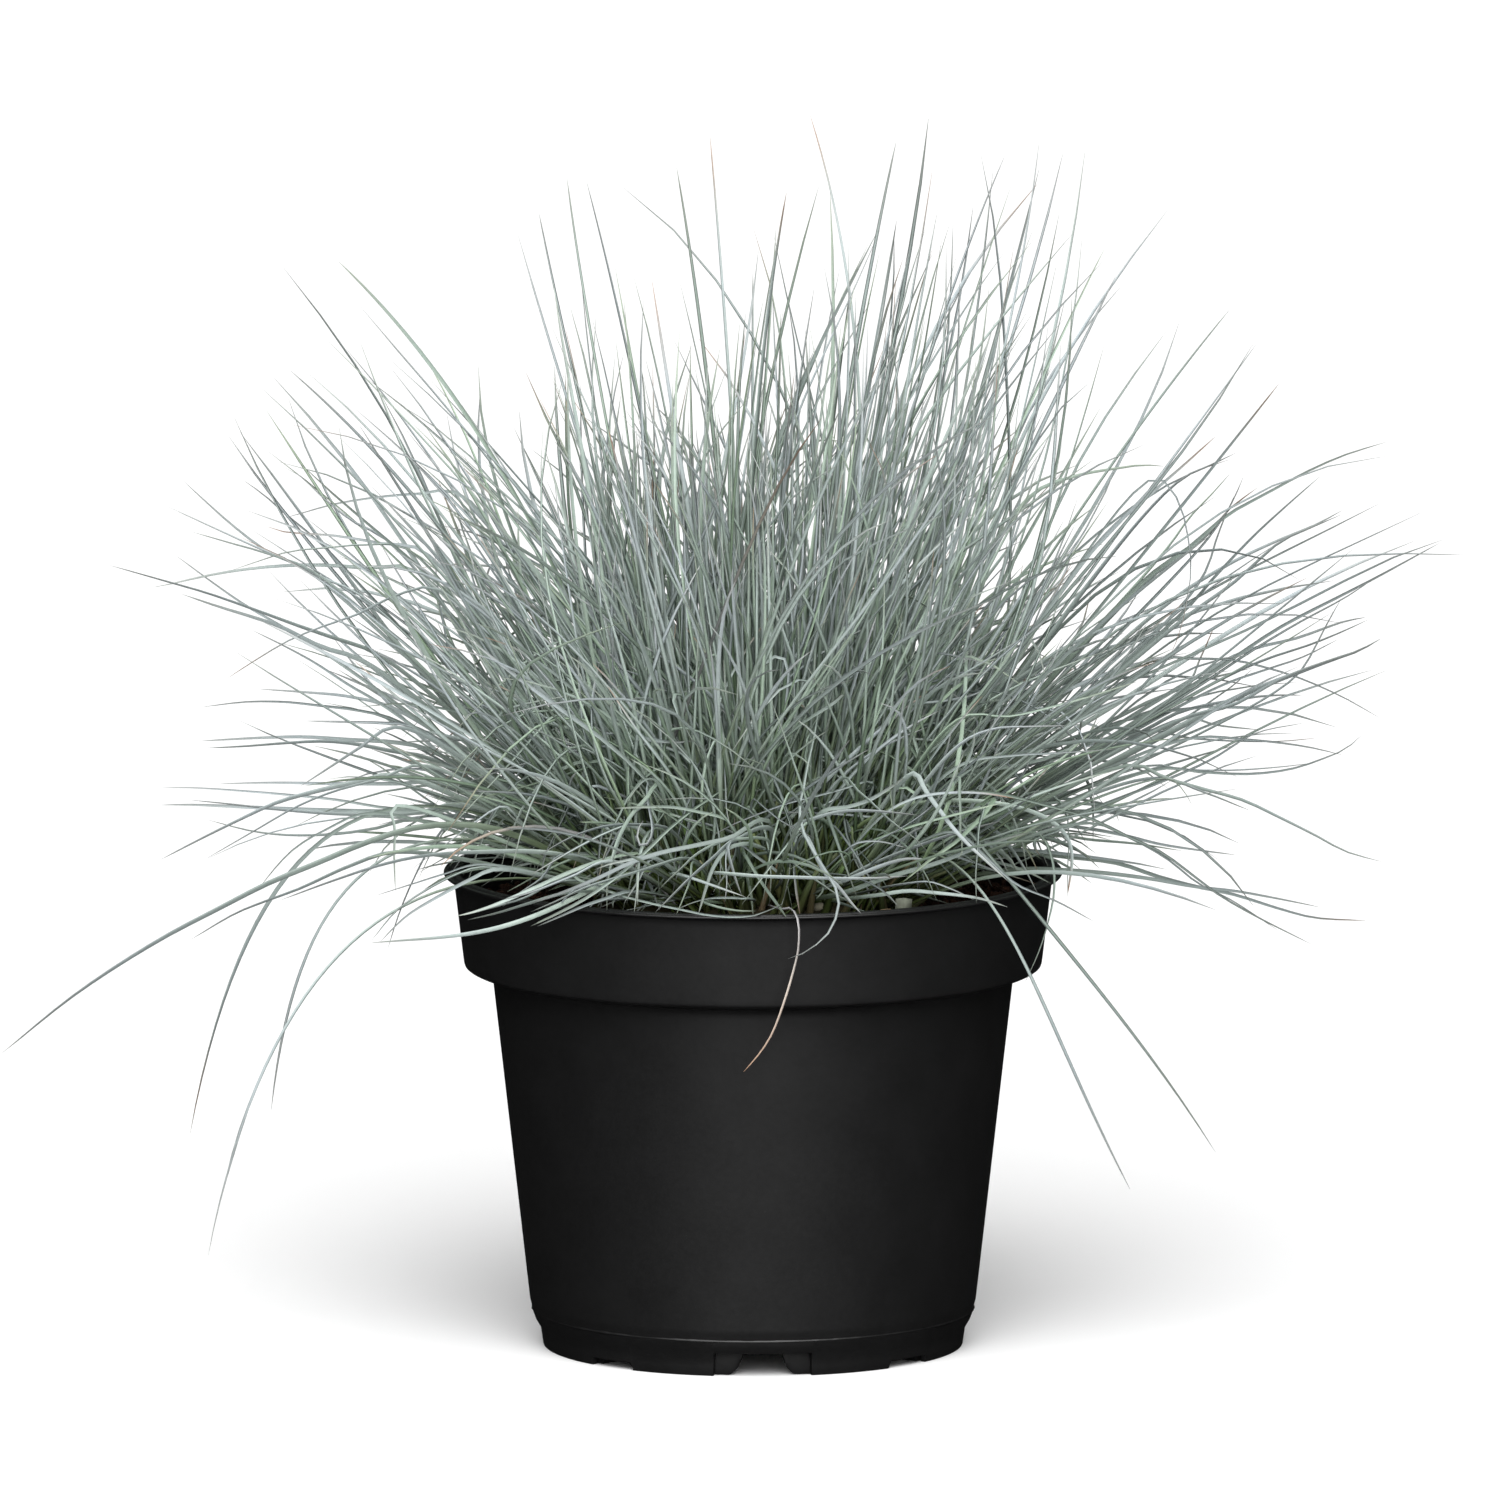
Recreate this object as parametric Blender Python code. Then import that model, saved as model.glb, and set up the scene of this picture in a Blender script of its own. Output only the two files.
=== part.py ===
"""Potted blue fescue clump: a round nursery pot, its peat, the crown and the tillers of rolled leaves.

Metres, +Z up. The origin is on the pot's axis at ground level, and the front faces -Y.
Each tiller is one shoot: a short sheath that parts into six pointed locks of leaves. All of them
fan out from one centre inside the peat and are bent by one smooth droop, so they never cross.
"""
from math import acos, asin, atan2, cos, degrees, pi, radians, sin, sqrt, tan
import random

import bmesh
import bpy
from mathutils import Vector

MM = 0.001
CONTACT_GAP = 0.3 * MM
SEED = 7

# Pot, a 13 cm nursery pot measured over its lip
POT_SEGMENTS = 48
POT_TURN = radians(2.7)
WALL = 1.3 * MM
INNER_CORNER = 2.0 * MM
FOOT_INNER_RADIUS = 34.0 * MM
FOOT_RADIUS = 44.2 * MM
SKIRT_TOP_RADIUS = 44.8 * MM
SKIRT_TOP = 4.0 * MM
FOOT_HEIGHT = 7.0 * MM
FLOOR_TOP = FOOT_HEIGHT + WALL
BODY_BOTTOM_RADIUS = 47.15 * MM
BODY_BOTTOM = 11.0 * MM
EDGE_ROUNDING = 11.6 * MM
BODY_TOP_RADIUS = 54.95 * MM
BODY_TOP = 79.4 * MM
COLLAR_BOTTOM_RADIUS = 60.95 * MM
COLLAR_BOTTOM = 82.0 * MM
COLLAR_ROUNDING = 2.0 * MM
COLLAR_TOP_RADIUS = 62.8 * MM
COLLAR_TOP = 97.0 * MM
LIP_RADIUS = 65.15 * MM
LIP_ROUNDING = 0.55 * MM
RIM_HEIGHT = 100.5 * MM

# Feet: wide notches at the front and the back, two low ones between them on each side, and a
# channel behind each
NOTCHES = 8
WIDE_NOTCHES = (0, 4)
LOW_NOTCHES = (1, 3, 5, 7)
WIDE_NOTCH_HEIGHT = 4.8 * MM
LOW_NOTCH_HEIGHT = 1.5 * MM
WIDE_NOTCH = radians(26.7)
NARROW_NOTCH = radians(14.5)
SKIRT_INNER_RADIUS = 43.0 * MM
CHANNEL_HEIGHT = 6.2 * MM
WIDE_CHANNEL_TOP, WIDE_CHANNEL_BOTTOM = 7.8 * MM, 15.0 * MM
NARROW_CHANNEL_TOP, NARROW_CHANNEL_BOTTOM = 4.6 * MM, 8.6 * MM
DRAIN_HOLE_RADIUS = 3.6 * MM
DRAIN_HOLE_CIRCLE = 27.0 * MM
CUT_PAST = 2.0 * MM

# Peat and crown
SOIL_LEVEL = 93.8 * MM
SOIL_EDGE_DROP = 1.2 * MM
SOIL_LUMP = 0.8 * MM
SOIL_FLAT_RADIUS = 33.0 * MM
SOIL_LUMP_RADII = (45.0 * MM, 55.0 * MM)
FAN_CENTRE = 76.0 * MM
CROWN_RADIUS = 36.0 * MM
CROWN_RINGS = 4
CROWN_SIDES = 20

# Tillers
TILLERS = 48
LOCKS = 6
FAN_ANGLE = radians(53.0)
FAN_EDGE = radians(58.5)
TILLER_SPREAD = radians(5.5)
LOCK_SWING = radians(20)
LOCK_NEAREST = 0.45 * TILLER_SPREAD
SHEATH_TOP = 66.0 * MM
SHEATH_STEP = 4.0 * MM
ARCHED_LEAN = radians(38)
STRAIGHT_LOCK = ((0.36, 0.60), (0.70, 0.34))
ARCHED_LOCK = ((0.26, 0.68), (0.50, 0.50), (0.76, 0.28))
LEAF_REACH_SIDE = 131.0 * MM
LEAF_REACH_RISE = 34.0 * MM

# Bending of the fan: an early opening just above the crown, then the droop of the long leaves
OPENING = 0.13
DROOP_START = 68.0 * MM
DROOP_LENGTH = 60.0 * MM
DROOP_MEAN = radians(39.5)
DROOP_RIGHT = radians(-5.0)
DROOP_BACK = radians(16.0)
DROOP_SIDES = radians(15.5)

# The longest leaves, as the places of their tips in millimetres
LONG_LEAF_TIPS = (
    (-151, -60, 63), (-114, -40, 46), (-108, -58, 22), (-98, 42, 50), (-124, 30, 118),
    (-116, -40, 137), (-134, 10, 165), (-121, 40, 182), (-107, -30, 184), (-97, 35, 207),
    (-87, -20, 229), (-45, 30, 242), (-38, -30, 246), (-16, 45, 250), (-9, -15, 256),
    (8, 30, 246), (12, 0, 261), (29, -20, 255), (52, 20, 253), (60, -10, 255), (74, 30, 233),
    (100, -20, 219), (107, 30, 212), (110, -45, 203), (131, 20, 190), (119, -40, 186),
    (148, 15, 171), (131, -30, 133), (129, 45, 128), (131, -35, 103), (118, 40, 86),
    (94, -40, 43), (77, 50, 34), (20, -144, 150), (-52, -128, 136), (66, -116, 128),
    (-25, 141, 112), (45, 137, 74), (-78, 116, 62), (0, 100, 214), (-30, -96, 208),
)


def make_object(name, bm, material, cutter=False):
    """The finished mesh as one named object, closed and facing outwards."""
    bmesh.ops.recalc_face_normals(bm, faces=bm.faces)
    if bm.calc_volume(signed=True) < 0:
        bmesh.ops.reverse_faces(bm, faces=bm.faces)
    mesh = bpy.data.meshes.new(name)
    bm.to_mesh(mesh)
    bm.free()
    mesh.shade_smooth()
    mesh.set_sharp_from_angle(angle=radians(38))
    thing = bpy.data.objects.new(name, mesh)
    bpy.context.collection.objects.link(thing)
    if cutter:
        thing.hide_render = True
        thing.display_type = "WIRE"
    else:
        mesh.materials.append(material)
    return thing


def make_material(name, color, roughness):
    material = bpy.data.materials.new(name)
    material.use_nodes = True
    shader = material.node_tree.nodes["Principled BSDF"]
    shader.inputs["Base Color"].default_value = (*color, 1.0)
    shader.inputs["Roughness"].default_value = roughness
    shader.inputs["Metallic"].default_value = 0.0
    return material


def turned(profile, segments):
    """A closed body of revolution from (radius, height) pairs."""
    bm = bmesh.new()
    points = [bm.verts.new((radius, 0.0, height)) for radius, height in profile]
    edges = [bm.edges.new(pair) for pair in zip(points, points[1:])]
    if profile[0][0] > 0.0:
        edges.append(bm.edges.new((points[-1], points[0])))
    bmesh.ops.spin(
        bm, geom=points + edges, axis=(0, 0, 1), cent=(0, 0, 0),
        angle=2 * pi, steps=segments, use_merge=True,
    )
    bmesh.ops.remove_doubles(bm, verts=bm.verts, dist=1e-6)
    return bm


def arc(centre_radius, centre_height, radius, start, end, steps):
    """Profile points on a round stretch, from the start angle to the end angle in degrees."""
    angles = [radians(start + (end - start) * i / steps) for i in range(steps + 1)]
    return [(centre_radius + radius * cos(a), centre_height + radius * sin(a)) for a in angles]


def inner_radius(height):
    """The radius of the collar's inside at this height."""
    slope = (COLLAR_TOP_RADIUS - COLLAR_BOTTOM_RADIUS) / (COLLAR_TOP - COLLAR_BOTTOM)
    return COLLAR_BOTTOM_RADIUS - WALL + slope * (height - COLLAR_BOTTOM)


def pot_profile():
    """The wall from the middle of the underside, up the outside, over the lip and down the inside."""
    collar_centre = COLLAR_BOTTOM_RADIUS - COLLAR_ROUNDING
    foot = [
        (0.0, FOOT_HEIGHT), (FOOT_INNER_RADIUS, FOOT_HEIGHT), (FOOT_INNER_RADIUS, 0.0),
        (FOOT_RADIUS, 0.0),
    ]
    edge_start = -degrees(asin((BODY_BOTTOM - SKIRT_TOP) / EDGE_ROUNDING))
    edge_centre = BODY_BOTTOM_RADIUS - EDGE_ROUNDING
    lower_edge = arc(edge_centre, BODY_BOTTOM, EDGE_ROUNDING, edge_start, 0, 4)
    body = [(BODY_TOP_RADIUS, BODY_TOP)]
    collar = arc(collar_centre, COLLAR_BOTTOM, COLLAR_ROUNDING, -90, 0, 3)
    lip = [(COLLAR_TOP_RADIUS, COLLAR_TOP)]
    lip += arc(LIP_RADIUS - LIP_ROUNDING, RIM_HEIGHT - LIP_ROUNDING, LIP_ROUNDING, -60, 90, 4)
    lip += [(inner_radius(RIM_HEIGHT), RIM_HEIGHT)]
    return foot + lower_edge + body + collar + lip + inner_profile()


def inner_profile():
    """The inside of the wall, from below the lip down to the middle of the floor."""
    collar_centre = COLLAR_BOTTOM_RADIUS - COLLAR_ROUNDING
    collar = arc(collar_centre, COLLAR_BOTTOM, COLLAR_ROUNDING - WALL, 0, -90, 2)
    bottom = BODY_BOTTOM_RADIUS - WALL
    body = [(BODY_TOP_RADIUS - WALL, BODY_TOP), (bottom, FLOOR_TOP + INNER_CORNER)]
    floor = [(bottom - INNER_CORNER, FLOOR_TOP), (0.0, FLOOR_TOP)]
    return collar + body + floor


def around(radius, angle, height):
    return Vector((radius * cos(angle), radius * sin(angle), height))


def add_block(bm, bottom, top):
    """A closed block between two four-cornered faces."""
    lower = [bm.verts.new(corner) for corner in bottom]
    upper = [bm.verts.new(corner) for corner in top]
    bm.faces.new(lower)
    bm.faces.new(upper)
    for i in range(4):
        j = (i + 1) % 4
        bm.faces.new((lower[i], lower[j], upper[j], upper[i]))


def skirt_notch_cutter():
    """Six curved windows in the skirt, each a block between two radii."""
    bm = bmesh.new()
    for i in WIDE_NOTCHES + LOW_NOTCHES:
        wide = i in WIDE_NOTCHES
        half = (WIDE_NOTCH if wide else NARROW_NOTCH) / 2
        top = WIDE_NOTCH_HEIGHT if wide else LOW_NOTCH_HEIGHT
        middle = i * 2 * pi / NOTCHES
        outer = (SKIRT_TOP_RADIUS + CUT_PAST) / cos(half)
        ring = [(SKIRT_INNER_RADIUS, -half), (outer, -half), (outer, half), (SKIRT_INNER_RADIUS, half)]
        corners = [[around(r, middle + a, z) for r, a in ring] for z in (-CUT_PAST, top)]
        add_block(bm, *corners)
    return make_object("skirt_notch_cutter", bm, None, cutter=True)


def channel_cutter():
    """Six channels under the floor, narrower at the top, that part the foot into pads."""
    bm = bmesh.new()
    for i in WIDE_NOTCHES + LOW_NOTCHES:
        wide = i in WIDE_NOTCHES
        top = (WIDE_CHANNEL_TOP if wide else NARROW_CHANNEL_TOP) / 2
        bottom = (WIDE_CHANNEL_BOTTOM if wide else NARROW_CHANNEL_BOTTOM) / 2
        middle = i * 2 * pi / NOTCHES
        out = around(1.0, middle, 0.0)
        side = around(1.0, middle + pi / 2, 0.0)
        near, far = FOOT_INNER_RADIUS - CUT_PAST, SKIRT_INNER_RADIUS + CONTACT_GAP
        mouth = bottom + (bottom - top) * CUT_PAST / CHANNEL_HEIGHT
        corners = [
            [out * r + side * w + Vector((0, 0, z)) for r, w in
             ((near, -half), (far, -half), (far, half), (near, half))]
            for half, z in ((mouth, -CUT_PAST), (top, CHANNEL_HEIGHT))
        ]
        add_block(bm, *corners)
    return make_object("channel_cutter", bm, None, cutter=True)


def drain_hole_cutter():
    bm = bmesh.new()
    for i in range(NOTCHES):
        centre = around(DRAIN_HOLE_CIRCLE, i * 2 * pi / NOTCHES, FOOT_HEIGHT)
        made = bmesh.ops.create_cone(
            bm, cap_ends=True, segments=10, radius1=DRAIN_HOLE_RADIUS,
            radius2=DRAIN_HOLE_RADIUS, depth=3 * WALL,
        )
        bmesh.ops.translate(bm, verts=made["verts"], vec=centre)
    return make_object("drain_hole_cutter", bm, None, cutter=True)


def make_pot(material):
    pot = make_object("pot", turned(pot_profile(), POT_SEGMENTS), material)
    turn = -pi / 2 + POT_TURN
    pot.rotation_euler.z = turn
    for cutter in (skirt_notch_cutter(), channel_cutter(), drain_hole_cutter()):
        cutter.rotation_euler.z = turn
        cut = pot.modifiers.new(cutter.name, "BOOLEAN")
        cut.operation = "DIFFERENCE"
        cut.solver = "EXACT"
        cut.object = cutter


def make_soil(material):
    """The peat: it fills the pot with a slight gap, and its top is lumpy outside the crown."""
    at_rim = SOIL_LEVEL - SOIL_EDGE_DROP
    top = [(0.0, SOIL_LEVEL), (SOIL_FLAT_RADIUS, SOIL_LEVEL)]
    top += [(radius, SOIL_LEVEL - SOIL_EDGE_DROP / 3) for radius in SOIL_LUMP_RADII]
    top += [(inner_radius(at_rim) - CONTACT_GAP, at_rim)]
    inside = [(r - CONTACT_GAP, z + CONTACT_GAP) for r, z in inner_profile()[:-1]]
    profile = list(reversed(top + inside + [(0.0, FLOOR_TOP + CONTACT_GAP)]))
    bm = turned(profile, POT_SEGMENTS // 2)
    draw = random.Random(SEED)
    for vert in bm.verts:
        if vert.co.z > at_rim + CONTACT_GAP and vert.co.xy.length > SOIL_FLAT_RADIUS + CUT_PAST:
            vert.co.z += draw.uniform(-1, 1) * SOIL_LUMP
    soil = make_object("soil", bm, material)
    soil.rotation_euler.z = -pi / 2 + POT_TURN


def make_crown(material):
    """The dome of old sheaths that the tillers stand on, part of a ball about the fan's centre."""
    base = SOIL_LEVEL + CONTACT_GAP
    lowest = acos((base - FAN_CENTRE) / CROWN_RADIUS)
    leans = [lowest * (1 - i / CROWN_RINGS) for i in range(CROWN_RINGS + 1)]
    dome = [(CROWN_RADIUS * sin(a), FAN_CENTRE + CROWN_RADIUS * cos(a)) for a in leans]
    make_object("crown", turned([(0.0, base)] + dome, CROWN_SIDES), material)


def droop(heading):
    """How far the outermost leaves bend down in each direction: least at the front."""
    return (
        DROOP_MEAN + DROOP_RIGHT * cos(heading) + DROOP_BACK * sin(heading)
        + DROOP_SIDES * cos(2 * heading)
    )


def bent_lean(lean, heading, reach):
    """The angle from the vertical, at this reach, of a leaf that leaves the crown at this lean."""
    t = min(1.0, max(0.0, (reach - CROWN_RADIUS) / CROWN_RADIUS))
    opened = lean * (1 + OPENING * t * t * (3 - 2 * t))
    out = max(0.0, (reach - DROOP_START) / DROOP_LENGTH)
    return opened + droop(heading) * (lean / FAN_EDGE) ** 4 * out ** 1.2


def unbent_lean(final_lean, heading, reach):
    """The lean at the crown of a leaf that has the given angle at this reach, by halving."""
    low, high = 0.0, FAN_EDGE * 1.1
    for _ in range(40):
        middle = (low + high) / 2
        if bent_lean(middle, heading, reach) < final_lean:
            low = middle
        else:
            high = middle
    return low


def direction(lean, heading):
    return Vector((sin(lean) * cos(heading), sin(lean) * sin(heading), cos(lean)))


def fan_frame(lean, heading):
    """A tiller's own axis, and the two directions square to it: down its lean, and round the fan."""
    axis = direction(lean, heading)
    down = direction(lean + pi / 2, heading)
    return down, axis.cross(down), axis


def place(frame, spread, reach):
    """A point of the straight fan, spread by two small angles off a tiller's axis, in the bent fan."""
    down, round_, axis = frame
    straight = (axis + tan(spread.x) * down + tan(spread.y) * round_).normalized()
    lean, heading = acos(min(1.0, straight.z)), atan2(straight.y, straight.x)
    bent = direction(bent_lean(lean, heading, reach), heading)
    return Vector((0, 0, FAN_CENTRE)) + reach * bent


def tiller_directions():
    """Evenly spread leans and headings on a spiral of the golden angle."""
    golden = pi * (3 - sqrt(5))
    flat = 1 - cos(FAN_ANGLE)
    return [(acos(1 - (i + 0.5) / TILLERS * flat), i * golden) for i in range(TILLERS)]


def within_lock(spread, k):
    """The spread moved into the share of the tiller that belongs to lock k, so that locks never cross."""
    middle = k * 2 * pi / LOCKS
    turn = middle + max(-LOCK_SWING, min(LOCK_SWING, angle_between(atan2(spread.y, spread.x), middle)))
    wide = max(LOCK_NEAREST, min(TILLER_SPREAD, spread.length))
    return Vector((cos(turn), sin(turn))) * wide


def lock_tips(frames, draw):
    """For each tiller, the spread and reach of its six lock tips; the nearest ones take the long tips."""
    tips = []
    for frame in frames:
        lean = acos(frame[2].z)
        own = []
        for k in range(LOCKS):
            reach = LEAF_REACH_SIDE + LEAF_REACH_RISE * cos(1.25 * lean) ** 2
            reach *= draw.uniform(0.80, 1.03)
            turn = (k + draw.uniform(-0.25, 0.25)) * 2 * pi / LOCKS
            wide = TILLER_SPREAD * draw.uniform(0.72, 0.97)
            own.append((Vector((cos(turn), sin(turn))) * wide, reach))
        tips.append(own)
    taken = set()
    for tip in LONG_LEAF_TIPS:
        arm = Vector(tip) * MM - Vector((0, 0, FAN_CENTRE))
        reach, heading = arm.length, atan2(arm.y, arm.x)
        lean = unbent_lean(acos(arm.z / reach), heading, reach)
        aim = direction(lean, heading)
        best = max(range(TILLERS), key=lambda i: frames[i][2].dot(aim))
        down, round_, axis = frames[best]
        spread = Vector((aim.dot(down), aim.dot(round_))) / aim.dot(axis)
        free = [k for k in range(LOCKS) if (best, k) not in taken]
        k = min(free, key=lambda k: (within_lock(spread, k) - spread).length)
        tips[best][k] = (within_lock(spread, k), reach)
        taken.add((best, k))
    return tips


def make_tiller(name, frame, tips, draw, material):
    """One shoot: a six-sided sheath whose top parts into six pointed three-sided locks.

    It is extruded in the straight fan, where x and y are the spread in radians and z is the reach,
    and each of its points is then put in its place in the bent fan. Each lock thins in the steps of
    STRAIGHT_LOCK or ARCHED_LOCK, which are shares of its length and of its width.
    """
    bm = bmesh.new()
    root = CROWN_RADIUS + 1.5 * CONTACT_GAP
    ring = bmesh.ops.create_circle(bm, cap_ends=True, segments=LOCKS, radius=TILLER_SPREAD * 0.80)
    bmesh.ops.translate(bm, verts=ring["verts"], vec=(0, 0, root))
    top = bmesh.ops.extrude_discrete_faces(bm, faces=bm.faces[:])["faces"]
    for k, vert in enumerate(top[0].verts):
        flat = vert.co.xy.normalized() * TILLER_SPREAD * draw.uniform(0.88, 0.97)
        vert.co = (flat.x, flat.y, SHEATH_TOP + (k % 2) * SHEATH_STEP)
    arched = acos(frame[2].z) > ARCHED_LEAN
    for part in bmesh.ops.poke(bm, faces=top)["faces"]:
        grow_lock(bm, part, tips, ARCHED_LOCK if arched else STRAIGHT_LOCK)
    bmesh.ops.holes_fill(bm, edges=[edge for edge in bm.edges if edge.is_boundary], sides=LOCKS)
    for vert in bm.verts:
        vert.co = place(frame, vert.co.xy, vert.co.z)
    make_object(name, bm, material)


def grow_lock(bm, part, tips, thinning):
    """Draw one three-sided part out to its lock's own tip, thinning as it goes."""
    middle = part.calc_center_median()
    spread, reach = tips[round(atan2(middle.y, middle.x) / (2 * pi / LOCKS)) % LOCKS]
    corners = [vert.co.xy - middle.xy for vert in part.verts]
    for along, width in thinning:
        part = bmesh.ops.extrude_discrete_faces(bm, faces=[part])["faces"][0]
        for vert, corner in zip(part.verts, corners):
            flat = middle.xy.lerp(spread, along) + corner * width
            vert.co = (flat.x, flat.y, middle.z + (reach - middle.z) * along)
    part = bmesh.ops.extrude_discrete_faces(bm, faces=[part])["faces"][0]
    bmesh.ops.pointmerge(bm, verts=part.verts[:], merge_co=(spread.x, spread.y, reach))


def angle_between(a, b):
    return (a - b + pi) % (2 * pi) - pi


def main():
    for thing in list(bpy.data.objects):
        bpy.data.objects.remove(thing)
    plastic = make_material("charcoal_plastic", (0.022, 0.023, 0.025), 0.42)
    peat = make_material("peat", (0.030, 0.016, 0.010), 0.95)
    thatch = make_material("sheath_bases", (0.27, 0.25, 0.12), 0.80)
    leaf = make_material("blue_leaf", (0.30, 0.39, 0.36), 0.60)
    make_pot(plastic)
    make_soil(peat)
    make_crown(thatch)
    draw = random.Random(SEED)
    frames = [fan_frame(lean, heading) for lean, heading in tiller_directions()]
    tips = lock_tips(frames, draw)
    for number, (frame, own) in enumerate(zip(frames, tips), 1):
        make_tiller(f"tiller_{number:02d}", frame, own, draw, leaf)


main()
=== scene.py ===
"""Looks of the potted blue fescue clump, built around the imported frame.

Metres, +Z up, the front faces -Y. The surfaces are worked out as whole arrays: turned profiles for
the pot, a rippled disc for the peat, and a four-sided section carried along a curved path for every
leaf and sheath. The leaves grow from tillers on the crown and take the place of the tiller solids.
"""
import math

import bpy
import numpy as np
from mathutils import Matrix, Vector


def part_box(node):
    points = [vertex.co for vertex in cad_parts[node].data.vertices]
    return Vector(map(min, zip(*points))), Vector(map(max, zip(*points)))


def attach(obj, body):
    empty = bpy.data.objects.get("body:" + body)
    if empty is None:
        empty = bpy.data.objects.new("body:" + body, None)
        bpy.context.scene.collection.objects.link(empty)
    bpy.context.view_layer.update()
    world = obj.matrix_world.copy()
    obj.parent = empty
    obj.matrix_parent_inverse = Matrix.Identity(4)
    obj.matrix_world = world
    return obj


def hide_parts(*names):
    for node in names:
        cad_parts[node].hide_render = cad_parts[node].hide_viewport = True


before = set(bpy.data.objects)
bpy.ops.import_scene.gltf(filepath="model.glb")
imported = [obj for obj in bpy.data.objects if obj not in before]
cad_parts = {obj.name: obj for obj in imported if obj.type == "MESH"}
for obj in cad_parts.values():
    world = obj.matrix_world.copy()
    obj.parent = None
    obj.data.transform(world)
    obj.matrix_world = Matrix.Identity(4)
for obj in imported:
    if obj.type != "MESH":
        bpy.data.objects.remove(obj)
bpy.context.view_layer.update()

MM = 0.001
PI = math.pi

# Photograph: the pot's axis and its foot in pixels, and the scale at the axis
IMAGE_SIDE = 1500
AXIS_PIXEL = 753.0
FOOT_CENTRE_PIXEL = 1343.8
PIXEL = 0.2104 * MM
CAMERA_RISE = math.radians(8.5)
CAMERA_DISTANCE = 8.0

# Sizes and places that several pieces share
POT_TURN = -PI / 2 + math.radians(2.7)
SOIL_LEVEL = 93.8 * MM
CROWN_EDGE = 32.0 * MM

rng = np.random.default_rng(20)


# Meshes from arrays

def add_mesh(name, points, faces, material, smooth=True):
    """A piece from an array of points and a list of index arrays, one row of corners a face."""
    mesh = bpy.data.meshes.new(name)
    points = np.asarray(points, dtype=np.float32).reshape(-1, 3)
    corners = np.concatenate([np.asarray(f, dtype=np.int32).ravel() for f in faces])
    totals = np.concatenate([np.full(len(f), f.shape[1], dtype=np.int32) for f in faces])
    starts = np.concatenate([[0], np.cumsum(totals)[:-1]]).astype(np.int32)
    mesh.vertices.add(len(points))
    mesh.vertices.foreach_set("co", points.ravel())
    mesh.loops.add(len(corners))
    mesh.loops.foreach_set("vertex_index", corners)
    mesh.polygons.add(len(totals))
    mesh.polygons.foreach_set("loop_start", starts)
    mesh.polygons.foreach_set("loop_total", totals)
    mesh.update(calc_edges=True)
    mesh.validate()
    if smooth:
        mesh.shade_smooth()
    mesh.materials.append(material)
    piece = bpy.data.objects.new(name, mesh)
    bpy.context.collection.objects.link(piece)
    return piece


def set_tint(piece, tint):
    """A colour attribute that carries what varies over the piece, four numbers for each point."""
    layer = piece.data.color_attributes.new("tint", "FLOAT_COLOR", "POINT")
    layer.data.foreach_set("color", np.asarray(tint, dtype=np.float32).ravel())


def turned_grid(points):
    """Faces of a grid of rows by columns that closes on itself round the axis.

    Each end has a pole: one more point, in the middle of the first or the last row, which
    triangles join to that row.
    """
    rows, columns = points.shape[:2]
    index = np.arange(rows * columns).reshape(rows, columns)
    right = np.roll(index, -1, axis=1)
    quads = np.stack([index[:-1], right[:-1], right[1:], index[1:]], axis=-1).reshape(-1, 4)
    first_pole, last_pole = (np.full(columns, rows * columns + k) for k in (0, 1))
    first_cap = np.stack([first_pole, right[0], index[0]], axis=-1)
    last_cap = np.stack([last_pole, index[-1], right[-1]], axis=-1)
    poles = [points[row].mean(axis=0, keepdims=True) for row in (0, -1)]
    return np.concatenate([points.reshape(-1, 3), *poles]), [quads, first_cap, last_cap]


def turned_ring(points):
    """Faces of a grid that closes on itself round the axis, and from its last row to its first."""
    rows, columns = points.shape[:2]
    index = np.arange(rows * columns).reshape(rows, columns)
    right = np.roll(index, -1, axis=1)
    corners = (index, right, np.roll(right, -1, axis=0), np.roll(index, -1, axis=0))
    return points, [np.stack(corners, axis=-1).reshape(-1, 4)]


def turned(profile, angles):
    """Every point of a profile of radius and height, at every angle round the axis."""
    radius, height = np.asarray(profile, dtype=float).T
    x = radius[:, None] * np.cos(angles)
    y = radius[:, None] * np.sin(angles)
    return np.stack([x, y, np.broadcast_to(height[:, None], x.shape)], axis=-1)


def rounded(profile, radii, steps=4):
    """A profile whose corners are cut by curves.

    Each corner becomes a parabola between two points that lie the given distance along its sides.
    """
    profile = np.asarray(profile, dtype=float)
    made = [profile[:1]]
    share = np.linspace(0, 1, steps + 1)[:, None]
    for before, corner, after, radius in zip(profile, profile[1:], profile[2:], radii):
        if radius <= 0:
            made.append(corner[None])
            continue
        start = corner + (before - corner) * radius / np.linalg.norm(before - corner)
        end = corner + (after - corner) * radius / np.linalg.norm(after - corner)
        made.append((1 - share) ** 2 * start + 2 * share * (1 - share) * corner + share ** 2 * end)
    return np.concatenate(made + [profile[-1:]])


def smooth_step(value):
    """The value clipped to 0 and 1, squared, times three less twice itself."""
    value = np.clip(value, 0.0, 1.0)
    return value * value * (3 - 2 * value)


def lattice_noise(x, y, cell, seed):
    """Soft random heights from -1 to 1: random values on a square lattice, blended smoothly."""
    table = np.random.default_rng(seed).uniform(-1, 1, (64, 64))
    u, v = x / cell + 17.3, y / cell + 29.1
    i, j = np.floor(u).astype(int), np.floor(v).astype(int)
    s, t = smooth_step(u - i), smooth_step(v - j)
    corner = lambda a, b: table[(i + a) % 64, (j + b) % 64]
    low = corner(0, 0) * (1 - s) + corner(1, 0) * s
    high = corner(0, 1) * (1 - s) + corner(1, 1) * s
    return low * (1 - t) + high * t


# Shader helpers

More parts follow.
